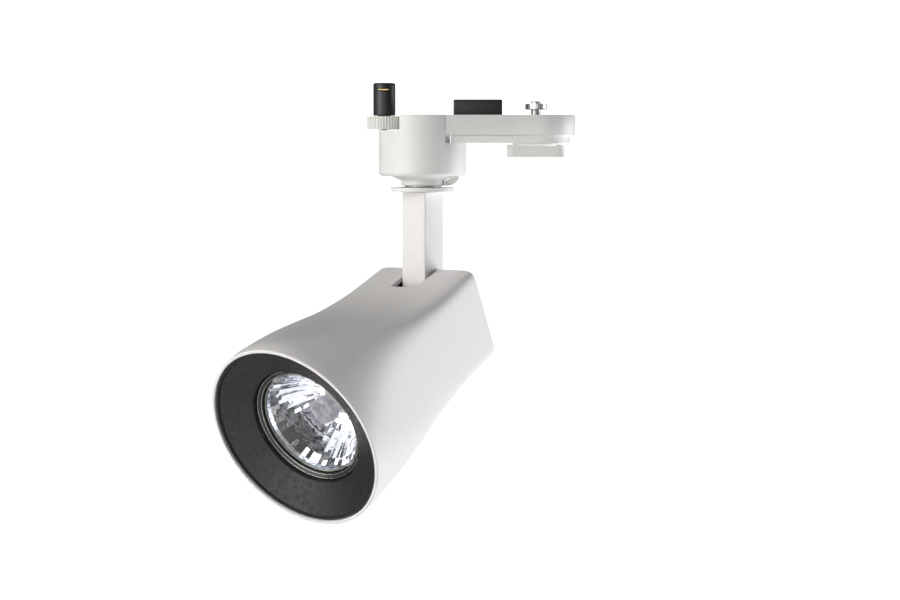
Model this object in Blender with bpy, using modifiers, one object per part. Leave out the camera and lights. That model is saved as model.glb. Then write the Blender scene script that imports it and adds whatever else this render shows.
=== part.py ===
"""Single-circuit track spotlight: adapter, swivel stem and tilting head, as separate pieces.

World frame: +Z up, X along the track, origin on the swivel axis at the adapter's seat on the track.
All lengths are in metres. MM turns millimetres into metres.
"""
import math

import bmesh
import bpy
from mathutils import Matrix, Vector

MM = 0.001
GAP = 0.3 * MM            # clearance between pieces that touch

# --- pose of the moving bodies as modelled -------------------------------------------------
SWIVEL_DEG = -36.0        # head turned about the vertical axis
TILT_DEG = 25.0           # head tipped down from level

# --- adapter -------------------------------------------------------------------------------
DRUM_R = 19.9 * MM
DRUM_BOTTOM = -27.4 * MM
WHEEL_STEP = -6.8 * MM    # top of the drum under the wheel
DRUM_CHAMFER = 1.1 * MM
BLOCK_HALF = 10.25 * MM   # half width of the drum's full-height part
ARM_HALF = 16.8 * MM
ARM_END_X = 52.5 * MM     # centre of the arm's round end
ARM_BOTTOM = -9.0 * MM
CASE_WALL = 2.0 * MM
BOSS_R = (14.6 * MM, 9.9 * MM)        # upper and lower radius of the cone under the drum
BOSS_BOTTOM = -29.7 * MM
COVER_T = 1.8 * MM
LID_INSET = 2.2 * MM
LID_BOTTOM = -12.35 * MM
LID_SCREW_X = 24.5 * MM
LID_SCREW_Y = 8.5 * MM
LID_START_X = 12.8 * MM
NOTCH_HALF = 12.0 * MM    # half width of the web behind the notch between drum and lid
TERMINAL_Z = (-16.6 * MM, -9.4 * MM)
TERMINAL_X = 4.0 * MM

# --- contact turret ------------------------------------------------------------------------
WHEEL_X = -17.4 * MM
WHEEL_R = 8.0 * MM
WHEEL_TOP = -0.5 * MM
WHEEL_BOTTOM = -6.4 * MM
WHEEL_RIBS = 38
WHEEL_POCKET = (1.25 * MM, 4.8 * MM)   # depth and half width of its pocket in the drum's side
TURRET_STUB_R = 1.3 * MM
TURRET_R = 5.0 * MM
TURRET_TOP = 14.5 * MM
BLADE_REACH = 12.5 * MM
BLADE_HALF_W = 2.3 * MM
BLADE_T = 0.8 * MM
BLADE_Z = {"live": 7.0 * MM, "neutral": 11.0 * MM}

# --- lock ----------------------------------------------------------------------------------
LOCK_X = 51.4 * MM
LOCK_DISC_R = 10.4 * MM
LOCK_GRIP = (26.2 * MM, 5.6 * MM)     # length and width of the grip tab
LOCK_BOTTOM = -19.0 * MM
LOCK_SHAFT_R = 2.1 * MM
WING_Z = (2.7 * MM, 5.0 * MM)
WING_HALF = (4.5 * MM, 14.0 * MM)

# --- swivel joint --------------------------------------------------------------------------
BUSH_R = 9.7 * MM
BUSH_BOTTOM = -31.9 * MM
STOP_R = (10.2 * MM, 16.8 * MM)       # inner and outer radius of the stop lug
STOP_ROUND = (5.8 * MM, 4.2 * MM)     # reach inward and height of its rounded outer edge
STOP_ANGLES = (-15.0, 5.0)            # degrees about the swivel axis
DISC_R = 14.4 * MM
DISC_Z = (-34.6 * MM, -32.7 * MM)
DISC_TOOTH_R = 12.5 * MM              # where the disc's own tooth stands
DISC_TOOTH_SIZE = 1.1 * MM
NIPPLE_R = 4.0 * MM
NIPPLE_BORE = 2.6 * MM
NIPPLE_Z = (-41.0 * MM, -21.0 * MM)

# --- stem ----------------------------------------------------------------------------------
STEM_HALF_X = 6.6 * MM                # across the tilt axis
STEM_HALF_Y = 7.1 * MM                # fore and aft
STEM_WALL = 1.2 * MM
STEM_TOP = DISC_Z[0] - GAP
PIVOT_Z = -87.0 * MM

# --- leads ---------------------------------------------------------------------------------
LEAD_R = 0.85 * MM
LEAD_STEP = 1.3 * MM                  # each lead's distance from the swivel axis
LEAD_MEET = -20.6 * MM                # where the drum's leads meet the stem's
POLES = (("live", -1, "lead_brown"), ("neutral", 1, "lead_blue"))

# --- head, measured from the rim plane back along its axis ----------------------------------
PIVOT_BACK = 105.2 * MM
PIVOT_UP = 7.0 * MM
HEAD_LENGTH = 115.0 * MM
REAR_ROUND = 1.6 * MM
HEAD_WALL = 2.0 * MM
RIM_WALL = 1.5 * MM
# distance back, half width, half height, squareness (2 is an ellipse)
HEAD_STATIONS = (
    (0.0, 43.2, 43.2, 2.0),
    (5.0, 43.1, 43.3, 2.0),
    (12.0, 41.2, 42.0, 2.15),
    (25.0, 37.0, 38.0, 2.9),
    (44.0, 32.8, 32.0, 4.6),
    (64.0, 30.2, 26.2, 7.0),
    (85.0, 28.8, 22.7, 10.0),
    (115.0, 27.0, 21.8, 13.0),
)
SLOT_HALF = 7.15 * MM
SLOT_FRONT = 95.8 * MM
SLOT_LOW = -0.7 * MM

# --- baffle and lamp, same distances back ---------------------------------------------------
BAFFLE_R = 41.3 * MM
BAFFLE_FRONT = 0.8 * MM
BAFFLE_INNER_R = 27.0 * MM
BAFFLE_DEPTH = 10.6 * MM
BAFFLE_WALL = 1.2 * MM
LAMP_TUBE_END = 21.0 * MM
LAMP_FRONT = 11.9 * MM
LAMP_R = 25.0 * MM
GLASS_R = 24.2 * MM
NECK_R = 8.0 * MM
NECK_BACK = 40.0 * MM
BASE_R = 10.0 * MM
BASE_BACK = 57.0 * MM
PIN_PITCH = 10.0 * MM
PIN_BACK = 64.0 * MM
HOLDER_FRONT = 58.5 * MM
HOLDER_BACK = 77.0 * MM

# --- tilt joint ----------------------------------------------------------------------------
EAR_INNER = 7.6 * MM
EAR_T = 2.0 * MM
EAR_R = 7.2 * MM
BOLT_R = 2.5 * MM
BRACKET_FLOOR = -19.2 * MM
BRACKET_SCREW_STEP = 4.5 * MM
BRACKET_SCREW_TIP = -15.5 * MM
BRACKET_SCREW_FACE = -21.6 * MM

COLLECTION = "track_spotlight"


# ------------------------------------------------------------------------------ scene helpers
def reset_scene():
    """Remove every object and make the two collections."""
    for old in list(bpy.data.objects):
        bpy.data.objects.remove(old, do_unlink=True)
    made = []
    for name in (COLLECTION, "cutters"):
        coll = bpy.data.collections.get(name) or bpy.data.collections.new(name)
        if name not in bpy.context.scene.collection.children:
            bpy.context.scene.collection.children.link(coll)
        made.append(coll)
    return made


PARTS, CUTTERS = reset_scene()


def material(name, color, roughness, metallic=0.0):
    """A Principled material of one colour."""
    mat = bpy.data.materials.new(name)
    mat.use_nodes = True
    shader = mat.node_tree.nodes["Principled BSDF"]
    shader.inputs["Base Color"].default_value = (*color, 1.0)
    shader.inputs["Roughness"].default_value = roughness
    shader.inputs["Metallic"].default_value = metallic
    mat.diffuse_color = (*color, 1.0)
    return mat


FINISHES = {
    "white_plastic": ((0.84, 0.84, 0.82), 0.45, 0.0),
    "white_paint": ((0.82, 0.81, 0.79), 0.5, 0.0),
    "black_paint": ((0.02, 0.02, 0.02), 0.6, 0.0),
    "black_plastic": ((0.03, 0.03, 0.03), 0.5, 0.0),
    "grey_plastic": ((0.76, 0.78, 0.73), 0.5, 0.0),
    "steel": ((0.6, 0.6, 0.6), 0.3, 1.0),
    "brass": ((0.75, 0.58, 0.28), 0.3, 1.0),
    "ceramic": ((0.86, 0.84, 0.78), 0.4, 0.0),
    "mirror_glass": ((0.9, 0.9, 0.92), 0.08, 1.0),
    "clear_glass": ((0.9, 0.95, 0.92), 0.03, 0.0),
    "lead_brown": ((0.3, 0.14, 0.06), 0.5, 0.0),
    "lead_blue": ((0.05, 0.15, 0.5), 0.5, 0.0),
}


def frame_empty(name, parent=None, location=(0, 0, 0), rotation=(0, 0, 0)):
    """An empty that stands for a moving frame."""
    empty = bpy.data.objects.new(name, None)
    PARTS.objects.link(empty)
    empty.parent = parent
    empty.location = location
    empty.rotation_euler = rotation
    return empty


def new_object(name, mesh, finish=None, parent=None, location=(0, 0, 0), rotation=(0, 0, 0)):
    """Link a mesh as a part, or as a cutter when it has no finish."""
    obj = bpy.data.objects.new(name, mesh)
    obj.parent = parent
    obj.location = location
    obj.rotation_euler = rotation
    if finish is None:
        CUTTERS.objects.link(obj)
        obj.hide_render = True
        obj.display_type = "WIRE"
        return obj
    PARTS.objects.link(obj)
    color, roughness, metallic = FINISHES[finish]
    mesh.materials.append(material(name + "_finish", color, roughness, metallic))
    return obj


def modifier(obj, kind, **settings):
    """Add a modifier and set its values."""
    mod = obj.modifiers.new(kind.lower(), kind)
    for key, value in settings.items():
        setattr(mod, key, value)
    return mod


def cut(obj, *cutters):
    """Take the cutters away from the object."""
    for cutter in cutters:
        modifier(obj, "BOOLEAN", operation="DIFFERENCE", solver="EXACT", object=cutter)
    return obj


def join(obj, *others):
    """Add the others to the object as one body."""
    for other in others:
        modifier(obj, "BOOLEAN", operation="UNION", solver="EXACT", object=other)
    return obj


# ------------------------------------------------------------------------------ shape helpers
def box_mesh(low, high, bevel=0.0):
    """A block between two corners, its edges rounded when bevel is given."""
    bm = bmesh.new()
    bmesh.ops.create_cube(bm, size=1.0)
    low = Vector(low)
    high = Vector(high)
    bmesh.ops.scale(bm, vec=high - low, verts=bm.verts)
    bmesh.ops.translate(bm, vec=(low + high) / 2, verts=bm.verts)
    if bevel:
        bmesh.ops.bevel(bm, geom=bm.edges[:], offset=bevel, segments=2, affect="EDGES")
    return finished_mesh(bm, "block")


def finished_mesh(bm, name):
    """Turn a bmesh into a mesh with smooth round sides."""
    mesh = bpy.data.meshes.new(name)
    bm.to_mesh(mesh)
    bm.free()
    mesh.shade_smooth()
    mesh.set_sharp_from_angle(angle=math.radians(35))
    return mesh


def box(name, low, high, finish=None, parent=None, bevel=0.0, **place):
    return new_object(name, box_mesh(low, high, bevel), finish, parent, **place)


def rod(name, radius, start, end, finish=None, parent=None, sides=32):
    """A cylinder between two points of its parent's frame."""
    start = Vector(start)
    end = Vector(end)
    bm = bmesh.new()
    depth = (end - start).length
    bmesh.ops.create_cone(bm, cap_ends=True, segments=sides, radius1=radius, radius2=radius, depth=depth)
    turn = (end - start).to_track_quat("Z", "Y").to_matrix().to_4x4()
    bmesh.ops.transform(bm, matrix=Matrix.Translation((start + end) / 2) @ turn, verts=bm.verts)
    return new_object(name, finished_mesh(bm, "rod"), finish, parent)


def turned(name, profile, finish=None, parent=None, steps=48, closed=False, **place):
    """A profile of (radius, height) points turned about Z; it runs down its outer side."""
    bm = bmesh.new()
    verts = [bm.verts.new((r, 0.0, z)) for r, z in profile]
    for a, b in zip(verts, verts[1:]):
        bm.edges.new((a, b))
    if closed:
        bm.edges.new((verts[-1], verts[0]))
    mesh = bpy.data.meshes.new(name)
    bm.to_mesh(mesh)
    bm.free()
    obj = new_object(name, mesh, finish, parent, **place)
    modifier(obj, "SCREW", axis="Z", angle=math.tau, steps=steps, render_steps=steps,
             use_merge_vertices=True, merge_threshold=0.00001, use_smooth_shade=True)
    return obj


def ring(name, inner, outer, low, high, finish=None, parent=None, steps=48, **place):
    """A plain ring between two heights."""
    profile = [(outer, high), (outer, low), (inner, low), (inner, high)]
    return turned(name, profile, finish, parent, steps, closed=True, **place)


def arc(cx, cy, radius, start, end, count):
    """Points along a circle, in degrees, both ends included."""
    for i in range(count + 1):
        angle = math.radians(start + (end - start) * i / count)
        yield cx + radius * math.cos(angle), cy + radius * math.sin(angle)


def plate(name, outline, low, high, finish=None, parent=None, **place):
    """A flat outline of (x, y) points with thickness between two heights."""
    curve = bpy.data.curves.new(name, "CURVE")
    curve.dimensions = "2D"
    curve.fill_mode = "BOTH"
    curve.extrude = (high - low) / 2
    points = list(outline)
    spline = curve.splines.new("POLY")
    spline.points.add(len(points) - 1)
    for point, (x, y) in zip(spline.points, points):
        point.co = (x, y, 0.0, 1.0)
    spline.use_cyclic_u = True
    flat = bpy.data.objects.new(name + "_outline", curve)
    bpy.context.scene.collection.objects.link(flat)
    graph = bpy.context.evaluated_depsgraph_get()
    mesh = bpy.data.meshes.new_from_object(flat.evaluated_get(graph))
    bpy.data.objects.remove(flat)
    bm = bmesh.new()
    bm.from_mesh(mesh)
    bpy.data.meshes.remove(mesh)
    bmesh.ops.remove_doubles(bm, verts=bm.verts, dist=0.000001)
    bmesh.ops.recalc_face_normals(bm, faces=bm.faces)
    bmesh.ops.translate(bm, vec=(0, 0, (low + high) / 2), verts=bm.verts)
    return new_object(name, finished_mesh(bm, name), finish, parent, **place)


def hexagon(across):
    """Outline of a nut."""
    return list(arc(0, 0, across / math.sqrt(3), 0, 300, 5))


def arm_outline(start_x, half, end_x, count=16):
    """A bar along X with a square start and a round end."""
    return [(start_x, -half), *arc(end_x, 0, half, -90, 90, count), (start_x, half)]


def wire(name, radius, points, finish, parent):
    """A lead along hand-placed points, smoothed, as a closed tube."""
    route = smooth_route([Vector(p) for p in points], 4)
    curve = bpy.data.curves.new(name, "CURVE")
    curve.dimensions = "3D"
    curve.bevel_depth = radius
    curve.bevel_resolution = 2
    curve.use_fill_caps = True
    spline = curve.splines.new("POLY")
    spline.points.add(len(route) - 1)
    for point, spot in zip(spline.points, route):
        point.co = (*spot, 1.0)
    obj = bpy.data.objects.new(name, curve)
    obj.parent = parent
    PARTS.objects.link(obj)
    color, roughness, metallic = FINISHES[finish]
    curve.materials.append(material(name + "_finish", color, roughness, metallic))
    return obj


def smooth_route(points, per_span):
    """Catmull-Rom points through the given ones."""
    ends = [2 * points[0] - points[1], *points, 2 * points[-1] - points[-2]]
    route = []
    for i in range(len(points) - 1):
        p0, p1, p2, p3 = ends[i:i + 4]
        for k in range(per_span):
            t = k / per_span
            route.append(0.5 * ((2 * p1) + (p2 - p0) * t + (2 * p0 - 5 * p1 + 4 * p2 - p3) * t * t
                                + (3 * p1 - p0 - 3 * p2 + p3) * t ** 3))
    route.append(points[-1])
    return route


# ------------------------------------------------------------------------------ adapter
def adapter_housing():
    """Casing: a drum with a raised middle, a pocket for the wheel and an arm with a round end."""
    drum = [(0, 0), (DRUM_R, 0), (DRUM_R, DRUM_BOTTOM + DRUM_CHAMFER), (DRUM_R - DRUM_CHAMFER, DRUM_BOTTOM),
            (BOSS_R[0], DRUM_BOTTOM), (BOSS_R[1], BOSS_BOTTOM), (0, BOSS_BOTTOM)]
    housing = turned("adapter_housing", drum, "white_plastic", steps=56)
    reach = DRUM_R + 2 * MM
    lid_step = LID_BOTTOM - GAP
    cut(housing, box("wheel_step", (-reach, -reach, WHEEL_STEP), (-BLOCK_HALF, reach, 2 * MM)),
        box("lid_step", (BLOCK_HALF, -reach, lid_step), (reach, reach, 2 * MM)))
    join(housing, plate("arm_add", arm_outline(3.1 * MM, ARM_HALF, ARM_END_X), ARM_BOTTOM, 0),
         box("notch_web", (BLOCK_HALF - 1 * MM, -NOTCH_HALF, lid_step - 0.5 * MM),
             (LID_START_X - GAP, NOTCH_HALF, ARM_BOTTOM + 0.5 * MM)))
    inside = DRUM_R - CASE_WALL
    ceiling = lid_step - CASE_WALL
    cavity = rod("drum_cavity", inside, (0, 0, DRUM_BOTTOM + CASE_WALL), (0, 0, ceiling), sides=48)
    throat_half = BLOCK_HALF - CASE_WALL
    throat = box("throat_cavity", (-throat_half, -15.1 * MM, ceiling - 1 * MM), (throat_half, 15.1 * MM, 1 * MM))
    arm_cavity = plate("arm_cavity", arm_outline(0.7 * MM, ARM_HALF - CASE_WALL, ARM_END_X),
                       ARM_BOTTOM + CASE_WALL, 1.3 * MM)
    depth, half = WHEEL_POCKET
    pocket = box("wheel_pocket", (-BLOCK_HALF - 1 * MM, -half, WHEEL_STEP + 0.05 * MM),
                 (-BLOCK_HALF + depth, half, 1.6 * MM))
    nipple_hole = rod("nipple_hole", NIPPLE_R + GAP, (0, 0, BOSS_BOTTOM - 1 * MM), (0, 0, DRUM_BOTTOM + 4 * MM))
    shaft_hole = rod("shaft_hole", LOCK_SHAFT_R + GAP, (LOCK_X, 0, ARM_BOTTOM - 1 * MM), (LOCK_X, 0, -3 * MM))
    turret_hole = rod("turret_hole", TURRET_STUB_R + GAP, (WHEEL_X, 0, WHEEL_STEP - 4 * MM), (WHEEL_X, 0, 1 * MM),
                      sides=20)
    cut(housing, cavity, throat, arm_cavity, pocket, nipple_hole, shaft_hole, turret_hole)
    for side in (-1, 1):
        hole = rod("lid_screw_hole", 1.5 * MM, (LID_SCREW_X, side * LID_SCREW_Y, ARM_BOTTOM - 1 * MM),
                   (LID_SCREW_X, side * LID_SCREW_Y, -3 * MM), sides=20)
        cut(housing, hole)


def adapter_cover():
    """Flat cover in the casing's open top, level with its rim."""
    inset = CASE_WALL + GAP
    outline = arm_outline(-BLOCK_HALF + inset, 14.5 * MM, ARM_END_X)
    cover = plate("adapter_cover", outline, -COVER_T, 0, "white_plastic")
    shaft_room = rod("cover_shaft_room", LOCK_SHAFT_R + GAP, (LOCK_X, 0, -9 * MM), (LOCK_X, 0, 1 * MM))
    key_room = box("cover_key_room", (13.7 * MM, -5.8 * MM, -1.2 * MM), (36.3 * MM, 5.8 * MM, 1 * MM))
    cut(cover, shaft_room, key_room)


def guide_key():
    """Key that fills the track's slot, seated in the cover."""
    key = box("guide_key", (14 * MM, -5.5 * MM, -0.9 * MM), (36 * MM, 5.5 * MM, 7 * MM), "black_plastic",
              bevel=0.5 * MM)
    groove = box("key_groove", (18 * MM, 4.2 * MM, 2.7 * MM), (32 * MM, 7 * MM, 6.3 * MM))
    cut(key, groove)
    box("earth_contact", (18.3 * MM, 4.5 * MM, 3.0 * MM), (31.7 * MM, 6.6 * MM, 6.0 * MM), "brass", bevel=0.4 * MM)


def arm_lid():
    """Lid under the arm, over the drum's lower step, with the lock shaft through it."""
    top = ARM_BOTTOM - GAP
    lid = plate("arm_lid", arm_outline(LID_START_X, ARM_HALF - LID_INSET, ARM_END_X), LID_BOTTOM, top,
                "white_plastic")
    modifier(lid, "BEVEL", width=0.4 * MM, segments=1, limit_method="ANGLE", angle_limit=math.radians(50))
    shaft_room = rod("lid_shaft_room", LOCK_SHAFT_R + GAP, (LOCK_X, 0, -20 * MM), (LOCK_X, 0, 0))
    cut(lid, shaft_room)
    for number, side in enumerate((-1, 1), 1):
        spot = (LID_SCREW_X, side * LID_SCREW_Y, 0)
        face = LID_BOTTOM + 0.1 * MM
        cut(lid, screw_room("lid_screw_room", 1.2 * MM, 2.5 * MM, -3.2 * MM, face, location=spot))
        screw = countersunk("lid_screw_%d" % number, 1.2 * MM, 2.5 * MM, -3.2 * MM, face, location=spot)
        cross_recess(screw, face, 1.7 * MM)


def countersunk(name, shank, head, tip, face, parent=None, **place):
    """Countersunk screw along Z with its face looking to -Z."""
    profile = [(0, tip), (shank, tip), (shank, face + 1.6 * MM), (head, face + 0.3 * MM), (head, face), (0, face)]
    return turned(name, profile, "steel", parent, steps=16, **place)


def screw_room(name, shank, head, tip, face, parent=None, **place):
    """Cutter that clears a countersunk screw all round."""
    shank += GAP
    head += GAP
    above = tip + 1 * MM
    below = face - 2 * MM
    profile = [(0, above), (shank, above), (shank, face + 1.7 * MM), (head, face + 0.5 * MM), (head, below), (0, below)]
    return turned(name, profile, parent=parent, steps=16, **place)


def cross_recess(screw, face_z, reach):
    """Two crossed slots in the face of a screw that looks to -Z."""
    for name, half_x, half_y in (("a", reach, 0.3 * MM), ("b", 0.3 * MM, reach)):
        slot = box("cross_" + name, (-half_x, -half_y, face_z - 0.5 * MM), (half_x, half_y, face_z + 0.9 * MM),
                   parent=screw.parent, location=screw.location, rotation=screw.rotation_euler)
        cut(screw, slot)


def terminal_block():
    """Two-way screw terminal inside the drum, with a lead from each way to the swivel axis."""
    low, high = TERMINAL_Z
    block = box("terminal_block", (-7.6 * MM, -6 * MM, low), (7.6 * MM, 6 * MM, high), "ceramic", bevel=0.6 * MM)
    for number, side in enumerate((-1, 1), 1):
        x = side * TERMINAL_X
        bore = rod("terminal_bore", 2.0 * MM, (x, 0, high - 3.4 * MM), (x, 0, high + 1 * MM), sides=20)
        lead_way = rod("terminal_way", 1.3 * MM, (x, 0, low - 1 * MM), (x, 0, high - 3 * MM), sides=16)
        cut(block, bore, lead_way)
        screw = turned("terminal_screw_%d" % number,
                       [(0, high - 0.4 * MM), (1.7 * MM, high - 0.4 * MM), (1.7 * MM, high - 3.0 * MM),
                        (0, high - 3.0 * MM)], "brass", location=(x, 0, 0), steps=16)
        cut(screw, box("terminal_slot", (-2 * MM, -0.3 * MM, high - 1.1 * MM), (2 * MM, 0.3 * MM, high + 1 * MM),
                       location=(x, 0, 0)))
    for pole, side, finish in POLES:
        x = side * TERMINAL_X
        route = [(x, 0, high - 4.0 * MM), (x, 0, low - 0.3 * MM), (0.6 * x, 0, low - 1.8 * MM),
                 (side * LEAD_STEP, 0, LEAD_MEET + 1.1 * MM), (side * LEAD_STEP, 0, LEAD_MEET + 0.2 * MM)]
        wire("block_lead_" + pole, LEAD_R, route, finish, None)


def swivel_fixed():
    """Collar and stop lug fixed under the drum."""
    ring("swivel_bush", NIPPLE_R + GAP, BUSH_R, BUSH_BOTTOM, BOSS_BOTTOM - GAP, "white_plastic")
    inner, outer = STOP_R
    inward, height = STOP_ROUND
    rounded = [(outer - inward + x, BUSH_BOTTOM + height - y) for x, y in quarter(inward, height, 6)]
    top = DRUM_BOTTOM - GAP
    profile = [*rounded, (inner, BUSH_BOTTOM), (inner, BOSS_BOTTOM - GAP), (BOSS_R[0] + 0.2 * MM, top)]
    stop = turned("swivel_stop", profile, "grey_plastic", closed=True, steps=72)
    wedge = plate("stop_wedge", [(0, 0), *arc(0, 0, 1.5 * outer, *STOP_ANGLES, 4)], 2 * BUSH_BOTTOM, 0)
    modifier(stop, "BOOLEAN", operation="INTERSECT", solver="EXACT", object=wedge)


def quarter(across, down, count):
    """Points of a quarter ellipse from (across, 0) to (0, down)."""
    for i in range(count + 1):
        angle = math.pi / 2 * i / count
        yield across * math.cos(angle), down * math.sin(angle)


# ------------------------------------------------------------------------------ contact turret
def contact_turret():
    """Knurled wheel, insulating post and its two contact blades."""
    spot = (WHEEL_X, 0, 0)
    outline = []
    for i in range(WHEEL_RIBS):
        step = 360 / WHEEL_RIBS
        for share, radius in ((0.0, WHEEL_R), (0.42, WHEEL_R), (0.58, WHEEL_R - 0.5 * MM),
                              (0.84, WHEEL_R - 0.5 * MM)):
            outline.extend(arc(0, 0, radius, step * (i + share), step * (i + share), 1))
            outline.pop()
    wheel = plate("selector_wheel", outline, WHEEL_BOTTOM, WHEEL_TOP, "grey_plastic", location=spot)
    bore = rod("wheel_bore", 3.3 * MM, (WHEEL_X, 0, -9 * MM), (WHEEL_X, 0, 1 * MM))
    cut(wheel, bore)
    post = turned("contact_turret",
                  [(0, TURRET_TOP), (TURRET_R - 0.8 * MM, TURRET_TOP), (TURRET_R, TURRET_TOP - 0.8 * MM),
                   (TURRET_R, WHEEL_TOP + 0.3 * MM), (3.0 * MM, WHEEL_TOP + 0.3 * MM), (3.0 * MM, -6.5 * MM),
                   (TURRET_STUB_R, -6.5 * MM), (TURRET_STUB_R, -10.5 * MM), (0, -10.5 * MM)],
                  "black_plastic", location=spot, steps=40)
    for pole, side in (("live", 1), ("neutral", -1)):
        z = BLADE_Z[pole]
        near = -3.0 * MM * side
        far = BLADE_REACH * side
        low_y = min(near, far)
        high_y = max(near, far)
        blade = box("contact_blade_" + pole, (-BLADE_HALF_W, low_y, z), (BLADE_HALF_W, high_y, z + BLADE_T),
                    "brass", location=spot, bevel=0.2 * MM)
        room = box("blade_room", (-BLADE_HALF_W - GAP, low_y - GAP, z - GAP),
                   (BLADE_HALF_W + GAP, high_y + GAP, z + BLADE_T + GAP), location=spot)
        cut(post, room)
        blade.location = spot


# ------------------------------------------------------------------------------ lock
def lock():
    """Knob under the lid, shaft through the arm and wing above the seat."""
    spot = (LOCK_X, 0, 0)
    disc_top = LID_BOTTOM - GAP
    length, width = LOCK_GRIP
    knob = turned("lock_knob", [(0, disc_top), (LOCK_DISC_R, disc_top), (LOCK_DISC_R, disc_top - 0.6 * MM),
                                (LOCK_DISC_R - 1.0 * MM, disc_top - 1.4 * MM), (0, disc_top - 1.4 * MM)],
                  "grey_plastic", location=spot, steps=48)
    straight = length / 2 - width / 2
    grip_outline = [*arc(straight, 0, width / 2, -90, 90, 8), *arc(-straight, 0, width / 2, 90, 270, 8)]
    grip = plate("grip_add", grip_outline, LOCK_BOTTOM, disc_top - 0.7 * MM, location=spot)
    join(knob, grip)
    socket = rod("knob_socket", LOCK_SHAFT_R + GAP, (LOCK_X, 0, LOCK_BOTTOM + 1.8 * MM), (LOCK_X, 0, 0))
    cut(knob, socket)
    rod("lock_shaft", LOCK_SHAFT_R, (LOCK_X, 0, LOCK_BOTTOM + 2.2 * MM), (LOCK_X, 0, WING_Z[1] + 1.2 * MM), "steel")
    half_x, half_y = WING_HALF
    outline = [*arc(0, half_y - half_x, half_x, 0, 180, 10), *arc(0, half_x - half_y, half_x, 180, 360, 10)]
    wing = plate("lock_wing", outline, WING_Z[0], WING_Z[1], "steel", location=spot)
    wing_bore = rod("wing_bore", LOCK_SHAFT_R + GAP, (LOCK_X, 0, 0), (LOCK_X, 0, 12 * MM))
    cut(wing, wing_bore)


# ------------------------------------------------------------------------------ stem
def stem(frame):
    """Swivel disc, threaded nipple with its nut, and the square tube that carries the head."""
    disc = ring("swivel_disc", NIPPLE_R + GAP, DISC_R, DISC_Z[0], DISC_Z[1], "white_paint", frame, steps=64)
    tooth_high = BUSH_BOTTOM + 2.0 * MM
    tooth = rod("disc_tooth", DISC_TOOTH_SIZE, (0, DISC_TOOTH_R, DISC_Z[0] + 0.5 * MM),
                (0, DISC_TOOTH_R, tooth_high), parent=frame, sides=16)
    join(disc, tooth)
    ring("swivel_washer", NIPPLE_R + GAP, 8.2 * MM, BUSH_BOTTOM - 0.55 * MM, BUSH_BOTTOM - 0.2 * MM, "steel",
         frame)
    ring("threaded_nipple", NIPPLE_BORE, NIPPLE_R, NIPPLE_Z[0], NIPPLE_Z[1], "steel", frame, steps=32)
    floor = DRUM_BOTTOM + CASE_WALL + GAP
    nut = plate("nipple_nut", hexagon(13 * MM), floor, floor + 3.6 * MM, "brass", frame)
    cut(nut, rod("nut_bore", NIPPLE_R + GAP, (0, 0, -30 * MM), (0, 0, -15 * MM), parent=frame))

    tube = box("stem_tube", (-STEM_HALF_X, -STEM_HALF_Y, PIVOT_Z - STEM_HALF_Y - 1 * MM),
               (STEM_HALF_X, STEM_HALF_Y, STEM_TOP), "white_paint", frame)
    upright_edge_bevel(tube, 0.6 * MM)
    inner_x = STEM_HALF_X - STEM_WALL
    inner_y = STEM_HALF_Y - STEM_WALL
    bore = box("stem_bore", (-inner_x, -inner_y, PIVOT_Z - 12 * MM), (inner_x, inner_y, 0), parent=frame)
    below = [(-12 * MM, 0), *arc(0, 0, STEM_HALF_Y, 180, 360, 20), (12 * MM, 0), (12 * MM, -14 * MM),
             (-12 * MM, -14 * MM)]
    round_end = plate("stem_round_end", below, -10 * MM, 10 * MM, parent=frame, location=(0, 0, PIVOT_Z),
                      rotation=(math.radians(90), 0, math.radians(90)))
    bolt_way = rod("stem_bolt_way", BOLT_R + GAP, (-12 * MM, 0, PIVOT_Z), (12 * MM, 0, PIVOT_Z), parent=frame)
    cut(tube, bore, round_end, bolt_way)

    insert = box("stem_insert", (-inner_x + GAP, -inner_y + GAP, STEM_TOP - 10 * MM),
                 (inner_x - GAP, inner_y - GAP, STEM_TOP - 1 * MM), "steel", frame, bevel=0.4 * MM)
    cut(insert, rod("insert_bore", NIPPLE_R + GAP, (0, 0, STEM_TOP - 20 * MM), (0, 0, 0), parent=frame))
    turn = math.radians(-SWIVEL_DEG)
    for pole, side, finish in POLES:
        x = side * LEAD_STEP * math.cos(turn)
        y = side * LEAD_STEP * math.sin(turn)
        route = [(x, y, LEAD_MEET - 0.2 * MM), (x, y, -30 * MM), (x, y, -42 * MM),
                 (side * 1.6 * MM, -2.5 * MM, -52 * MM), (side * 2.0 * MM, -4.3 * MM, -66 * MM),
                 (side * 2.0 * MM, -4.3 * MM, PIVOT_Z - 2.5 * MM)]
        wire("stem_lead_" + pole, LEAD_R, route, finish, frame)


def upright_edge_bevel(obj, width):
    """Round only the edges of a block that run along its Z."""
    bm = bmesh.new()
    bm.from_mesh(obj.data)
    upright = [e for e in bm.edges if abs((e.verts[0].co - e.verts[1].co).normalized().z) > 0.99]
    bmesh.ops.bevel(bm, geom=upright, offset=width, segments=3, affect="EDGES")
    bm.to_mesh(obj.data)
    bm.free()


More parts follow.
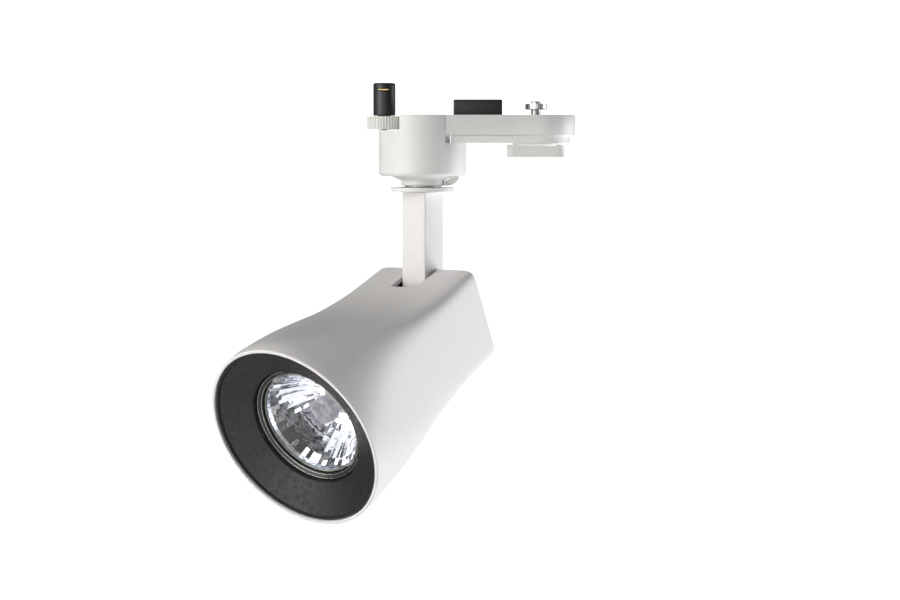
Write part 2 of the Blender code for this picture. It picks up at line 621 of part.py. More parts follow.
# ------------------------------------------------------------------------------ head shell
def station_values(back):
    """Half width, half height and squareness of the shell at a distance back, in millimetres."""
    rows = HEAD_STATIONS
    i = max(k for k in range(len(rows) - 1) if rows[k][0] <= back or k == 0)
    span = rows[i + 1][0] - rows[i][0]
    t = (back - rows[i][0]) / span
    values = []
    for column in (1, 2, 3):
        p1 = rows[i][column]
        p2 = rows[i + 1][column]
        step = (p2 - p1) / span
        before = (p1 - rows[i - 1][column]) / (rows[i][0] - rows[i - 1][0]) if i else step
        after = (rows[i + 2][column] - p2) / (rows[i + 2][0] - rows[i + 1][0]) if i + 2 < len(rows) else step
        m1 = (before + step) / 2 * span
        m2 = (after + step) / 2 * span
        values.append((2 * t ** 3 - 3 * t ** 2 + 1) * p1 + (t ** 3 - 2 * t ** 2 + t) * m1
                      + (3 * t ** 2 - 2 * t ** 3) * p2 + (t ** 3 - t ** 2) * m2)
    return values


def section(half_w, half_h, squareness, count):
    """Points of a superellipse, evenly spread by angle."""
    for i in range(count):
        angle = math.tau * (i + 0.5) / count
        c = math.cos(angle)
        s = math.sin(angle)
        reach = (abs(c) ** squareness + abs(s) ** squareness) ** (-1 / squareness)
        yield c * reach * half_w, s * reach * half_h


def shell_rings(count):
    """Rings of the shell: outside from rim to rear, then inside from rear to rim."""
    length = HEAD_LENGTH / MM
    edge = REAR_ROUND / MM
    outside = [0.0, 3.0, 7.0, 12.0, 18.0, 25.0, 34.0, 44.0, 54.0, 64.0, 80.0, length - edge]
    rings = []
    for back in outside:
        half_w, half_h, power = station_values(back)
        rings.append((back, half_w, half_h, power))
    for turn in (45, 90):
        angle = math.radians(turn)
        inset = edge * (1 - math.cos(angle))
        half_w, half_h, power = station_values(length)
        rings.append((length - edge + edge * math.sin(angle), half_w - inset, half_h - inset, power))
    wall = HEAD_WALL / MM
    rim_wall = RIM_WALL / MM
    inner_back = length - wall
    for back in (inner_back, 80.0, 64.0, 44.0, 25.0, 12.0, 5.0, 0.0):
        half_w, half_h, power = station_values(back)
        thick = rim_wall if back < 6 else wall
        rings.append((back, half_w - thick, half_h - thick, power))
    rows = []
    for back, half_w, half_h, power in rings:
        rows.append([Vector((x * MM, y * MM, -back * MM)) for x, y in section(half_w, half_h, power, count)])
    return rows


def lamp_housing(optic):
    """Shell lofted from a round rim to a rounded rectangle, closed at the rear, slotted for the stem."""
    count = 56
    rows = shell_rings(count)
    bm = bmesh.new()
    loops = [[bm.verts.new(point) for point in row] for row in rows]
    last_outer = 13
    for k in range(len(loops)):
        if k == last_outer:
            continue
        near = loops[k]
        far = loops[(k + 1) % len(loops)]
        for i in range(count):
            j = (i + 1) % count
            bm.faces.new((near[i], far[i], far[j], near[j]))
    bm.faces.new(reversed(loops[last_outer]))
    bm.faces.new(loops[last_outer + 1])
    bmesh.ops.recalc_face_normals(bm, faces=bm.faces)
    shell = new_object("lamp_housing", finished_mesh(bm, "lamp_housing"), "white_paint", optic)
    slot = box("stem_slot", (-SLOT_HALF, SLOT_LOW, -HEAD_LENGTH - 5 * MM),
               (SLOT_HALF, 30 * MM, -SLOT_FRONT), parent=optic)
    cut(shell, slot)
    for side in (-1, 1):
        room = screw_room("bracket_screw_room", 1.4 * MM, 2.6 * MM, BRACKET_SCREW_TIP, BRACKET_SCREW_FACE, optic,
                          location=(0, 0, -PIVOT_BACK + side * BRACKET_SCREW_STEP), rotation=(math.radians(-90), 0, 0))
        cut(shell, room)


# ------------------------------------------------------------------------------ baffle and lamp
def front_baffle(optic):
    """Black cone from the rim to the lamp, with the short tube round the lamp."""
    lip_back = BAFFLE_FRONT + 1.6 * MM
    tube_out = BAFFLE_INNER_R + BAFFLE_WALL
    profile = [(BAFFLE_R, -BAFFLE_FRONT), (BAFFLE_R, -lip_back - 1.2 * MM), (BAFFLE_R - 1.2 * MM, -lip_back - 1.2 * MM),
               (tube_out, -BAFFLE_DEPTH - BAFFLE_WALL), (tube_out, -LAMP_TUBE_END), (BAFFLE_INNER_R, -LAMP_TUBE_END),
               (BAFFLE_INNER_R, -BAFFLE_DEPTH), (BAFFLE_R - 1.2 * MM, -lip_back), (BAFFLE_R - 1.2 * MM, -BAFFLE_FRONT)]
    turned("front_baffle", profile, "black_paint", optic, steps=56, closed=True)


def lamp(optic):
    """Mains reflector lamp: front glass, reflector, burner, base and its two pins."""
    turned("lamp_retaining_ring",
           [(26.6 * MM, -10.7 * MM), (26.6 * MM, -11.6 * MM), (24.6 * MM, -11.6 * MM), (24.4 * MM, -11.0 * MM),
            (25.3 * MM, -10.2 * MM)], "black_plastic", optic, steps=48, closed=True)
    turned("lamp_front_glass",
           [(0, -LAMP_FRONT - 0.1 * MM), (GLASS_R - 0.5 * MM, -LAMP_FRONT - 0.1 * MM),
            (GLASS_R, -LAMP_FRONT - 0.5 * MM), (GLASS_R, -LAMP_FRONT - 1.6 * MM), (0, -LAMP_FRONT - 1.6 * MM)],
           "clear_glass", optic, steps=48)
    rim = LAMP_FRONT + 1.9 * MM
    bowl = []
    for i in range(7):
        share = i / 6
        radius = LAMP_R + (NECK_R + 1.4 * MM - LAMP_R) * share
        back = rim + 3.2 * MM + (NECK_BACK - 4.0 * MM - rim - 3.2 * MM) * bowl_depth(share)
        bowl.append((radius, back))
    outer = [(LAMP_R, -rim), *((r, -b) for r, b in bowl), (NECK_R + 1.4 * MM, -NECK_BACK)]
    inner = [(NECK_R, -NECK_BACK), *((r - 1.4 * MM, -b + 1.0 * MM) for r, b in reversed(bowl)),
             (LAMP_R - 1.4 * MM, -rim)]
    turned("lamp_reflector", outer + inner, "mirror_glass", optic, steps=40, closed=True)
    turned("burner_cap", [(0, -22.3 * MM), (5.6 * MM, -22.3 * MM), (6.7 * MM, -23.2 * MM), (6.7 * MM, -26 * MM),
                          (0, -26 * MM)], "steel", optic, steps=32)
    turned("lamp_capsule", [(0, -26.3 * MM), (3.6 * MM, -26.3 * MM), (4.8 * MM, -28 * MM), (4.8 * MM, -38 * MM),
                            (3.0 * MM, -40.5 * MM), (3.0 * MM, -46 * MM), (0, -46 * MM)],
           "clear_glass", optic, steps=24)
    base_front = NECK_BACK + GAP
    turned("lamp_base", [(0, -47 * MM), (3.4 * MM, -47 * MM), (3.4 * MM, -base_front),
                         (BASE_R - 0.4 * MM, -base_front), (BASE_R, -base_front - 2 * MM),
                         (BASE_R, -BASE_BACK), (0, -BASE_BACK)], "ceramic", optic, steps=32)
    for number, side in enumerate((-1, 1), 1):
        x = side * PIN_PITCH / 2
        turned("lamp_pin_%d" % number,
               [(0, -BASE_BACK - GAP), (1.25 * MM, -BASE_BACK - GAP), (1.25 * MM, -PIN_BACK + 2 * MM),
                (2.4 * MM, -PIN_BACK + 2 * MM), (2.4 * MM, -PIN_BACK), (0, -PIN_BACK)], "steel", optic, steps=20,
               location=(x, 0, 0))


def bowl_depth(share):
    """Depth of the reflector bowl against the share of the way in from its rim."""
    return math.sin(share * math.pi / 2) ** 1.15


def lampholder(optic):
    """Ceramic holder with a hole for each pin, its angle bracket and the bracket's screws."""
    holder = turned("lampholder", [(0, -HOLDER_FRONT), (11 * MM, -HOLDER_FRONT), (12 * MM, -HOLDER_FRONT - 1 * MM),
                                   (12 * MM, -HOLDER_BACK + 1.5 * MM), (10.5 * MM, -HOLDER_BACK),
                                   (0, -HOLDER_BACK)], "ceramic", optic, steps=40)
    for side in (-1, 1):
        x = side * PIN_PITCH / 2
        cut(holder, rod("pin_room", 2.8 * MM, (x, 0, -PIN_BACK - 1 * MM), (x, 0, -HOLDER_FRONT + 1 * MM),
                        parent=optic, sides=20))
        cut(holder, rod("lead_room", 1.2 * MM, (side * 4 * MM, 0, -HOLDER_BACK - 1 * MM),
                        (side * 4 * MM, 0, -HOLDER_BACK + 5 * MM), parent=optic, sides=16))
    front = HOLDER_BACK + GAP
    back = front + 1.2 * MM
    bracket = box("holder_bracket", (-9 * MM, BRACKET_FLOOR, -back), (9 * MM, 11 * MM, -front), "steel", optic)
    foot = box("foot_add", (-9 * MM, BRACKET_FLOOR, -back - 8 * MM), (9 * MM, BRACKET_FLOOR + 1.2 * MM, -front),
               parent=optic)
    join(bracket, foot)
    cut(bracket, box("lead_gap", (-6 * MM, -3 * MM, -back - 1 * MM), (6 * MM, 3 * MM, -front + 1 * MM),
                     parent=optic))
    for number, side in enumerate((-1, 1), 1):
        y = side * 7.5 * MM
        cut(bracket, rod("screw_way", 1.6 * MM, (0, y, -back - 1 * MM), (0, y, -front + 1 * MM), parent=optic,
                         sides=20))
        cut(holder, rod("screw_blind", 1.6 * MM, (0, y, -HOLDER_BACK - 1 * MM), (0, y, -HOLDER_BACK + 5 * MM),
                        parent=optic, sides=20))
        turned("holder_screw_%d" % number,
               [(0, -HOLDER_BACK + 4.5 * MM), (1.3 * MM, -HOLDER_BACK + 4.5 * MM), (1.3 * MM, -back - GAP),
                (2.6 * MM, -back - GAP), (2.6 * MM, -back - 1.6 * MM), (0, -back - 1.6 * MM)],
               "steel", optic, steps=20, location=(0, y, 0))


# ------------------------------------------------------------------------------ tilt joint
def tilt_joint(optic):
    """U-shaped bracket on the shell's floor, with the bolt, nut and washers that clamp the stem."""
    z = -PIVOT_BACK
    low = BRACKET_FLOOR
    floor_t = 1.6 * MM
    half_x = EAR_INNER + EAR_T - 0.3 * MM
    half_z = EAR_R - 0.5 * MM
    bracket = box("pivot_bracket", (-half_x, low, z - half_z), (half_x, low + floor_t, z + half_z), "steel", optic)
    for side in (-1, 1):
        ear_outline = [(-EAR_R, low + 0.4 * MM), (EAR_R, low + 0.4 * MM), *arc(0, PIVOT_UP, EAR_R, 0, 180, 16)]
        centre = side * (EAR_INNER + EAR_T / 2)
        ear = plate("ear_add", ear_outline, -EAR_T / 2, EAR_T / 2, parent=optic, location=(centre, 0, z),
                    rotation=(0, math.radians(90), 0))
        join(bracket, ear)
    bolt_way = rod("bracket_bolt_way", BOLT_R + GAP, (-15 * MM, PIVOT_UP, z), (15 * MM, PIVOT_UP, z), parent=optic)
    cut(bracket, bolt_way)
    for number, side in enumerate((-1, 1), 1):
        spot = z + side * BRACKET_SCREW_STEP
        cut(bracket, rod("bracket_screw_way", 1.8 * MM, (0, low - 1 * MM, spot), (0, low + 3 * MM, spot),
                         parent=optic, sides=20))
        screw = countersunk("bracket_screw_%d" % number, 1.4 * MM, 2.6 * MM, BRACKET_SCREW_TIP, BRACKET_SCREW_FACE,
                            optic, location=(0, 0, spot), rotation=(math.radians(-90), 0, 0))
        cross_recess(screw, BRACKET_SCREW_FACE, 1.7 * MM)
        ring("friction_washer_%d" % number, BOLT_R + GAP, 6.2 * MM, 0, 0.45 * MM, "black_plastic", optic, steps=32,
             location=(side * (STEM_HALF_X + 0.5 * MM) - 0.225 * MM, PIVOT_UP, z), rotation=(0, math.radians(90), 0))
    outer = EAR_INNER + EAR_T + GAP
    bolt = turned("pivot_bolt", [(0, outer + 3.2 * MM), (3.6 * MM, outer + 3.2 * MM), (4.2 * MM, outer + 2.4 * MM),
                                 (4.2 * MM, outer), (BOLT_R, outer), (BOLT_R, -outer - 4.6 * MM),
                                 (0, -outer - 4.6 * MM)], "steel", optic, steps=32,
                  location=(0, PIVOT_UP, z), rotation=(0, math.radians(90), 0))
    socket = plate("bolt_socket", hexagon(3.2 * MM), outer + 1.4 * MM, outer + 5 * MM, parent=optic,
                   location=(0, PIVOT_UP, z), rotation=(0, math.radians(90), 0))
    cut(bolt, socket)
    nut = plate("pivot_nut", hexagon(8 * MM), -outer - 4.0 * MM, -outer, "steel", optic,
                location=(0, PIVOT_UP, z), rotation=(0, math.radians(90), 0))
    cut(nut, rod("pivot_nut_bore", BOLT_R + GAP, (-20 * MM, PIVOT_UP, z), (0, PIVOT_UP, z), parent=optic))


def head_leads(optic):
    """Leads from the holder's back to just ahead of the stem's end."""
    back = HOLDER_BACK
    for pole, side, finish in POLES:
        route = [(side * 4 * MM, 0, -back + 3.5 * MM), (side * 4 * MM, 0, -back - 4 * MM),
                 (side * 3.6 * MM, 1.5 * MM, -back - 12 * MM), (side * 2.2 * MM, 3.0 * MM, -back - 19.5 * MM)]
        wire("head_lead_" + pole, LEAD_R, route, finish, optic)


def earth_screw(optic):
    """Earth screw in the bracket's floor side of the shell."""
    turned("earth_screw", [(0, 2.0 * MM), (3.0 * MM, 2.0 * MM), (3.0 * MM, 0.4 * MM), (1.5 * MM, 0.4 * MM),
                           (1.5 * MM, 0), (0, 0)], "brass", optic, steps=20,
           location=(0, BRACKET_FLOOR + 1.6 * MM, -HOLDER_BACK - 5.5 * MM), rotation=(math.radians(-90), 0, 0))


def main():
    stem_frame = frame_empty("stem_frame", rotation=(0, 0, math.radians(SWIVEL_DEG)))
    head_frame = frame_empty("head_frame", stem_frame, (0, 0, PIVOT_Z), (math.radians(TILT_DEG), 0, 0))
    optic = frame_empty("optic_frame", head_frame, (0, -PIVOT_BACK, -PIVOT_UP), (math.radians(90), 0, 0))
    adapter_housing()
    adapter_cover()
    guide_key()
    arm_lid()
    terminal_block()
    swivel_fixed()
    contact_turret()
    lock()
    stem(stem_frame)
    lamp_housing(optic)
    front_baffle(optic)
    lamp(optic)
    lampholder(optic)
    tilt_joint(optic)
    head_leads(optic)
    earth_screw(optic)


main()
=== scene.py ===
"""Looks of the track spotlight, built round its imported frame.

World frame: metres, +Z up, +X along the track. Shapes below are written in millimetres, in the
frame of the sub-part they belong to, and turned into metres by mesh_from.
"""

import math
import random

import bmesh
import bpy
from mathutils import Matrix, Vector

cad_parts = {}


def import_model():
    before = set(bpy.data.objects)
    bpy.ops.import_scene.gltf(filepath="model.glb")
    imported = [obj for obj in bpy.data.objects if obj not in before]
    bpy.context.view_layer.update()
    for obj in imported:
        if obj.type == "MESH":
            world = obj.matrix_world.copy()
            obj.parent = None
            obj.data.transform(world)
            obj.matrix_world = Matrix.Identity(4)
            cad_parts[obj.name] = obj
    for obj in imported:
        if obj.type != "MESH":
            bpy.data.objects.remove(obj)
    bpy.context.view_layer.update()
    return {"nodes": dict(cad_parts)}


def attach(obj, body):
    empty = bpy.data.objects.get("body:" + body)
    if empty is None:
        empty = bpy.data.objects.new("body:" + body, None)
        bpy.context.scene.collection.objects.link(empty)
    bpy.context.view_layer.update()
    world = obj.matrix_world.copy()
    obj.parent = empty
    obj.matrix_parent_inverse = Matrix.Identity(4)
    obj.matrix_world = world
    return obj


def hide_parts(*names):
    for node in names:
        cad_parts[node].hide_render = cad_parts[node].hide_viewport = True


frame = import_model()

MM = 0.001
GAP = 0.3                          # clearance that the solids keep between touching pieces
SEAM = 0.04                        # what is left of it where the eye would see through
SHARP_DEG = 32                     # edges that turn more than this stay sharp

# --- how the head is aimed -----------------------------------------------------------------
SWIVEL_DEG = -36.0
TILT_DEG = 25.0
PIVOT_BACK = 105.2
PIVOT_UP = 7.0

# --- adapter -------------------------------------------------------------------------------
DRUM_R = 19.9
DRUM_BOTTOM = -27.4
DRUM_CHAMFER = 1.1
BLOCK_HALF = 10.25
WHEEL_STEP = -6.8
ARM_HALF = 16.8
ARM_END_X = 52.5
ARM_BOTTOM = -9.0
ARM_ROOT_X = 3.1
CASE_WALL = 2.0
CASE_EDGE = 0.28
CAVITY_START_X = 0.7
THROAT_HALF = 15.1
BOSS_R = (14.6, 9.9)
BOSS_SHOULDER = (0.7, 0.55)        # out and up from the raised middle's lower edge
BOSS_BOTTOM = -29.7
LID_START_X = 12.8
NOTCH_HALF = 14.3
LID_BOTTOM = -12.35
LID_INSET = 2.2
LID_SCREWS = ((24.5, -8.5), (24.5, 8.5))
LID_SCREW_R = 1.2
LID_SCREW_HEAD_R = 2.5
LID_SCREW_TIP = -3.2
LID_SCREW_SUNK = 0.15
COVER_T = 1.8
COVER_HALF = 14.5
KEY_X = (14, 36)
KEY_HALF = 5.5
KEY_Z = (-0.9, 7)
EARTH_X = (18.3, 31.7)
EARTH_Y = (4.5, 6.6)
EARTH_Z = (3.0, 6.0)
WHEEL_X = -17.4
WHEEL_R = 8.0
WHEEL_Z = (-6.4, -0.5)
WHEEL_RIBS = 38
# share of the way round one rib, depth below the wheel's radius
RIB_PROFILE = ((0.04, 0.12), (0.1, 0.0), (0.4, 0.0), (0.48, 0.08),
               (0.56, 0.26), (0.62, 0.32), (0.84, 0.32), (0.94, 0.26))
WHEEL_POCKET = (1.25, 4.8)
TURRET_R = 5.0
TURRET_NECK_R = 3.0
TURRET_NECK_BOTTOM = -6.5
TURRET_STUB_R = 1.3
TURRET_STUB_BOTTOM = -10.5
TURRET_TOP = 14.5
BLADES = (("live", 1, 7.0), ("neutral", -1, 11.0))
BLADE_HALF = 2.3
BLADE_T = 0.8
BLADE_REACH = (3.0, 12.5)          # back past the axis, out from it
LOCK_X = 51.4
LOCK_SHAFT_R = 2.1
LOCK_DISC_R = 10.4
LOCK_DISC_T = 1.4
LOCK_GRIP = (26.2, 5.6)
LOCK_BOTTOM = -19.0
WING_Z = (2.7, 5.0)
WING_HALF = (4.5, 14.0)

# --- swivel joint and stem -----------------------------------------------------------------
BUSH_R = 9.7
BUSH_BOTTOM = -31.9
STOP_R = (10.2, 16.8)
STOP_ROUND = (5.8, 4.2)
STOP_ANGLES = (-15.0, 5.0)
NIPPLE_R = 4.0
NIPPLE_BORE = 2.6
NIPPLE_Z = (-41.0, -21.0)
THREAD_PITCH = 1.0
THREAD_DEPTH = 0.4
DISC_R = 14.4
DISC_Z = (-34.6, -32.7)
TOOTH_R = 1.1
TOOTH_OUT = 12.5
TOOTH_OVERLAP = 2.0                # how far it stands up past the collar's lower face
STEM_HALF = (6.6, 7.1)
STEM_WALL = 1.2
PIVOT_Z = -87.0

# --- head, measured back from the rim plane ------------------------------------------------
HEAD_LENGTH = 115.0
HEAD_WALL = 2.0
RIM_WALL = 1.5
REAR_ROUND = 1.6
ROW_STEP = 1.5
INNER_ROW_STEP = 3.0
SHELL_COUNT = 256
RIM_STRIPS = 5                     # strips inside the rim that are coated like the outside
# distance back, outward step
LIP_ROWS = ((0.0, -0.45), (0.06, -0.22), (0.22, -0.06), (0.45, 0.0))
# distance back, half width, half height, squareness (2 is an ellipse)
HEAD_STATIONS = (
    (0.0, 43.2, 43.2, 2.0),
    (5.0, 43.1, 43.3, 2.0),
    (12.0, 41.2, 42.0, 2.15),
    (25.0, 37.0, 38.0, 2.9),
    (44.0, 32.8, 32.0, 4.6),
    (64.0, 30.2, 26.2, 7.0),
    (85.0, 28.8, 22.7, 10.0),
    (115.0, 27.0, 21.8, 13.0),
)
SLOT_HALF = 7.15
SLOT_FRONT = 95.8
SLOT_LOW = -0.7
SLOT_EDGE = 0.5
BAFFLE_R = 41.3
BAFFLE_INNER_R = 27.0
BAFFLE_DEPTH = 10.6
BAFFLE_WALL = 1.2
BAFFLE_FRONT = -0.8
LAMP_TUBE_END = 21.0
LAMP_FRONT = 11.9
LAMP_R = 25.0
# radius, height and half thickness of each bead of the spring ring
BEADS = ((25.1, -11.8, 0.22), (26.6, -11.0, 0.22))
BEAD_HIGHLIGHT_SHARE = 0.8                   # part of a bead's half width, on its front, that is painted bright as a highlight
CLIP_R = (24.6, 26.9)
CLIP_Z = -12.4
GLASS_R = 24.2
GLASS_Z = (-0.6, -1.8)             # front and back faces, from the lamp's front
GLASS_RIM = 0.3
BOWL_WALL = 1.4
BOWL_RIM = 1.9                     # the bowl's rim, back from the lamp's front
SECTORS = 34
FACET_RINGS = 7
FACET_PLEAT = 0.3
FACET_NOISE = 0.015
NECK_R = 8.0
NECK_BACK = 40.0
# from the middle outwards: radius, height, rounding
CAP_PROFILE = ((0, -21.3), (2.6, -21.4, 0.5), (3.0, -21.75, 0.3), (3.6, -21.7, 0.3),
               (5.2, -21.4, 0.6), (6.2, -22.3, 0.8), (6.2, -26, 0.3), (0, -26))
BRACKET_FLOOR = -19.2
BRACKET_SCREW_STEP = 4.5
BRACKET_SCREW_FACE = -21.6
BRACKET_SCREW_R = 1.4
BRACKET_SCREW_HEAD_R = 2.6
BRACKET_SCREW_TIP = -15.5
BRACKET_SCREW = (BRACKET_SCREW_R, BRACKET_SCREW_HEAD_R, BRACKET_SCREW_TIP, BRACKET_SCREW_FACE)
BRACKET_HOLE_R = 1.8
BRACKET_T = 1.6
EAR_INNER = 7.6
EAR_T = 2.0
EAR_R = 7.2
BOLT_R = 2.5
BOLT_HEAD_R = 4.2
BOLT_HEAD_T = 3.2
BOLT_TAIL = 4.6
SOCKET_ACROSS = 3.2
NUT_ACROSS = 8
NUT_T = 4.0

# --- small edges and countersunk screws ----------------------------------------------------
PLATE_EDGE = 0.25
RECESS_REACH = 1.7
RECESS_HALF = 0.3
RECESS_DEPTH = 0.9
SCREW_CONE = (0.3, 1.6)            # where the head's cone starts and ends, from its face
ROOM_CONE = (0.5, 1.7)             # the same for the room round it

# --- studio: the floor and surround in millimetres, the rest in metres ----------------------
FLOOR_Z = -1300
FLOOR_R = 1900
SWEEP_R = 600
FLOOR_T = 40
WALL_TOP = 900
SURROUND_Z = -1500
SURROUND_R = 2600
FLOOR_GLOW = 0.8
LIGHT_AIM = (-0.01, -0.02, -0.08)
# name, azimuth, elevation, distance, size, radiance, tint
LIGHTS = (
    ("key_left", -54, 10, 1.3, (1.2, 1.8), 3.2, (1.0, 0.985, 0.965)),
    ("side_right", 101, -18, 1.3, (1.0, 1.3), 5.0, (0.975, 0.97, 1.0)),
)
CARD = ("mirror_card", -24, -22, 1.5, (2.6, 2.6), 1.25, (0.98, 0.98, 1.0))
# place from straight down (0) to straight up (1), brightness
WORLD_STOPS = ((0.0, 0.9), (0.12, 0.8), (0.2, 0.5), (0.32, 0.2), (0.5, 0.12), (0.62, 0.09), (1.0, 0.09))
WORLD_TINT = (1.0, 0.98, 0.97)
CAMERA_SPOT = (0.0124, -1.0, -0.0107)
CAMERA_DOWN_DEG = 4.2
CAMERA_LENS = 87.8
CAMERA_SENSOR = 36.0


def turn(axis, degrees):
    return Matrix.Rotation(math.radians(degrees), 4, axis)


def shift(x, y, z):
    return Matrix.Translation((x, y, z))


WORLD = Matrix.Identity(4)
STEM = turn("Z", SWIVEL_DEG)
HEAD = STEM @ shift(0, 0, PIVOT_Z) @ turn("X", TILT_DEG)
OPTIC = HEAD @ shift(0, -PIVOT_BACK, -PIVOT_UP) @ turn("X", 90)
PIVOT = OPTIC @ shift(0, PIVOT_UP, -PIVOT_BACK) @ turn("Y", 90)


# ------------------------------------------------------------------------------ materials
class Finish:
    """A Principled material whose colour, roughness and bump come from noise on object coordinates."""

    def __init__(self, name, color, roughness, metallic=0.0):
        self.mat = bpy.data.materials.new(name)
        self.mat.use_nodes = True
        self.tree = self.mat.node_tree
        self.shader = self.tree.nodes["Principled BSDF"]
        self.color = color
        self.roughness = roughness
        self.shader.inputs["Base Color"].default_value = (*color, 1.0)
        self.shader.inputs["Roughness"].default_value = roughness
        self.shader.inputs["Metallic"].default_value = metallic
        self.coords = self.node("ShaderNodeTexCoord").outputs["Object"]

    def node(self, kind, **settings):
        made = self.tree.nodes.new(kind)
        for key, value in settings.items():
            setattr(made, key, value)
        return made

    def link(self, source, target):
        self.tree.links.new(source, target)

    def noise(self, scale, detail=3.0, stretch=None):
        """Fractal noise; stretch squeezes the coordinates for a brushed grain."""
        coords = self.coords
        if stretch:
            mapping = self.node("ShaderNodeMapping")
            mapping.inputs["Scale"].default_value = stretch
            self.link(coords, mapping.inputs["Vector"])
            coords = mapping.outputs["Vector"]
        made = self.node("ShaderNodeTexNoise")
        made.inputs["Scale"].default_value = scale
        made.inputs["Detail"].default_value = detail
        self.link(coords, made.inputs["Vector"])
        return made.outputs["Fac"]

    def ramp(self, source, low, high, start=0.35, end=0.65):
        """Colour between two values as the source goes from start to end."""
        made = self.node("ShaderNodeValToRGB")
        elements = made.color_ramp.elements
        elements[0].position = start
        elements[0].color = (*low, 1.0)
        elements[1].position = end
        elements[1].color = (*high, 1.0)
        self.link(source, made.inputs["Fac"])
        return made.outputs["Color"]

    def mottle(self, scale, amount, detail=4.0, stretch=None):
        """Vary the base colour gently."""
        low = [c * (1 - amount) for c in self.color]
        high = [min(1.0, c * (1 + amount)) for c in self.color]
        self.link(self.ramp(self.noise(scale, detail, stretch), low, high), self.shader.inputs["Base Color"])
        return self

    def gloss(self, scale, amount, stretch=None):
        """Vary the roughness."""
        made = self.node("ShaderNodeMapRange")
        made.inputs["From Min"].default_value = 0.3
        made.inputs["From Max"].default_value = 0.7
        made.inputs["To Min"].default_value = max(0.02, self.roughness - amount)
        made.inputs["To Max"].default_value = min(1.0, self.roughness + amount)
        self.link(self.noise(scale, 2.0, stretch), made.inputs["Value"])
        self.link(made.outputs["Result"], self.shader.inputs["Roughness"])
        return self

    def bumps(self, *layers, stretch=None):
        """Raise the surface by layers of (scale, height in millimetres)."""
        normal = None
        for scale, height in layers:
            made = self.node("ShaderNodeBump")
            made.inputs["Strength"].default_value = 1.0
            made.inputs["Distance"].default_value = height * MM
            self.link(self.noise(scale, 2.0, stretch), made.inputs["Height"])
            if normal:
                self.link(normal, made.inputs["Normal"])
            normal = made.outputs["Normal"]
        self.link(normal, self.shader.inputs["Normal"])
        return self

    def set(self, **values):
        """Plain values on the shader's own sockets; underscores stand for spaces."""
        for key, value in values.items():
            self.shader.inputs[key.replace("_", " ")].default_value = value
        return self


def moulded(name, color, roughness=0.36):
    """Moulded thermoplastic with a fine spark-eroded grain."""
    finish = Finish(name, color, roughness).mottle(160, 0.012).gloss(700, 0.05)
    return finish.bumps((2600, 0.012), (260, 0.01)).set(Specular_IOR_Level=0.35).mat


def powder_coat():
    """White powder coat: fine orange peel with grains, a trace of tint from place to place."""
    finish = Finish("white_powder_coat", (0.80, 0.79, 0.785), 0.5).mottle(1500, 0.03, 5.0).gloss(900, 0.07)
    return finish.bumps((1500, 0.028), (420, 0.02)).set(Specular_IOR_Level=0.3).mat


def black_texture():
    """Matt black coat with a coarse dry texture."""
    finish = Finish("black_texture_coat", (0.014, 0.0135, 0.0142), 0.52).mottle(700, 0.3, 5.0).gloss(500, 0.1)
    return finish.bumps((1300, 0.04), (380, 0.05)).set(Specular_IOR_Level=0.32).mat


def zinc():
    """Zinc-plated steel, faintly brushed."""
    finish = Finish("zinc_plate", (0.56, 0.56, 0.55), 0.42, 1.0).mottle(240, 0.06)
    return finish.gloss(900, 0.06, stretch=(1, 1, 9)).bumps((1500, 0.0008)).mat


def brass():
    finish = Finish("bright_brass", (0.78, 0.58, 0.27), 0.26, 1.0).mottle(300, 0.06).gloss(600, 0.08)
    return finish.bumps((900, 0.006)).mat


def steatite():
    """Unglazed ceramic, slightly speckled."""
    finish = Finish("steatite", (0.80, 0.77, 0.70), 0.62).mottle(900, 0.06, 6.0).gloss(500, 0.06)
    return finish.bumps((1400, 0.03), (200, 0.03)).mat


def mirror():
    """Aluminised facets, a little cloudy where the coat is thin."""
    finish = Finish("mirror_coat", (0.90, 0.915, 0.955), 0.06, 1.0).mottle(420, 0.05, 3.0).gloss(500, 0.03)
    return finish.bumps((500, 0.0015)).mat


def clear_glass():
    """Pressed front glass, seen mostly by its gloss."""
    finish = Finish("front_glass", (0.05, 0.06, 0.055), 0.05).gloss(60, 0.02)
    facing = finish.node("ShaderNodeLayerWeight")
    facing.inputs["Blend"].default_value = 0.25
    made = finish.node("ShaderNodeMapRange")
    made.inputs["To Min"].default_value = 0.02
    made.inputs["To Max"].default_value = 0.2
    finish.link(facing.outputs["Facing"], made.inputs["Value"])
    finish.link(made.outputs["Result"], finish.shader.inputs["Alpha"])
    return finish.mat


def edge_glass():
    """Ground edge of the front glass, grey-green."""
    finish = Finish("glass_edge", (0.34, 0.37, 0.33), 0.22).mottle(500, 0.2).gloss(300, 0.1)
    return finish.bumps((500, 0.02)).mat


def bead():
    """Bright polished wire on the front crest of each bead of the spring ring, a painted highlight."""
    finish = Finish("clip_bead_highlight", (0.42, 0.42, 0.38), 0.24, 1.0).mottle(400, 0.15).gloss(500, 0.08)
    return finish.bumps((900, 0.004)).mat


def frosted():
    """Etched cap over the burner, cloudy and uneven."""
    finish = Finish("frosted_cap", (0.40, 0.39, 0.43), 0.34).mottle(420, 0.3, 5.0).gloss(350, 0.12)
    return finish.bumps((600, 0.08)).set(Coat_Weight=0.5, Coat_Roughness=0.12).mat


def insulation(name, color):
    finish = Finish(name, color, 0.5).mottle(400, 0.08).gloss(400, 0.08)
    return finish.bumps((900, 0.012)).mat


def painted_shade_inside():
    """Bare casting inside the head, dull; its grey is darkened to near black as painted shade."""
    finish = Finish("bare_casting_painted_shade", (0.10, 0.098, 0.095), 0.7).mottle(300, 0.2).gloss(300, 0.1)
    return finish.bumps((500, 0.06)).mat


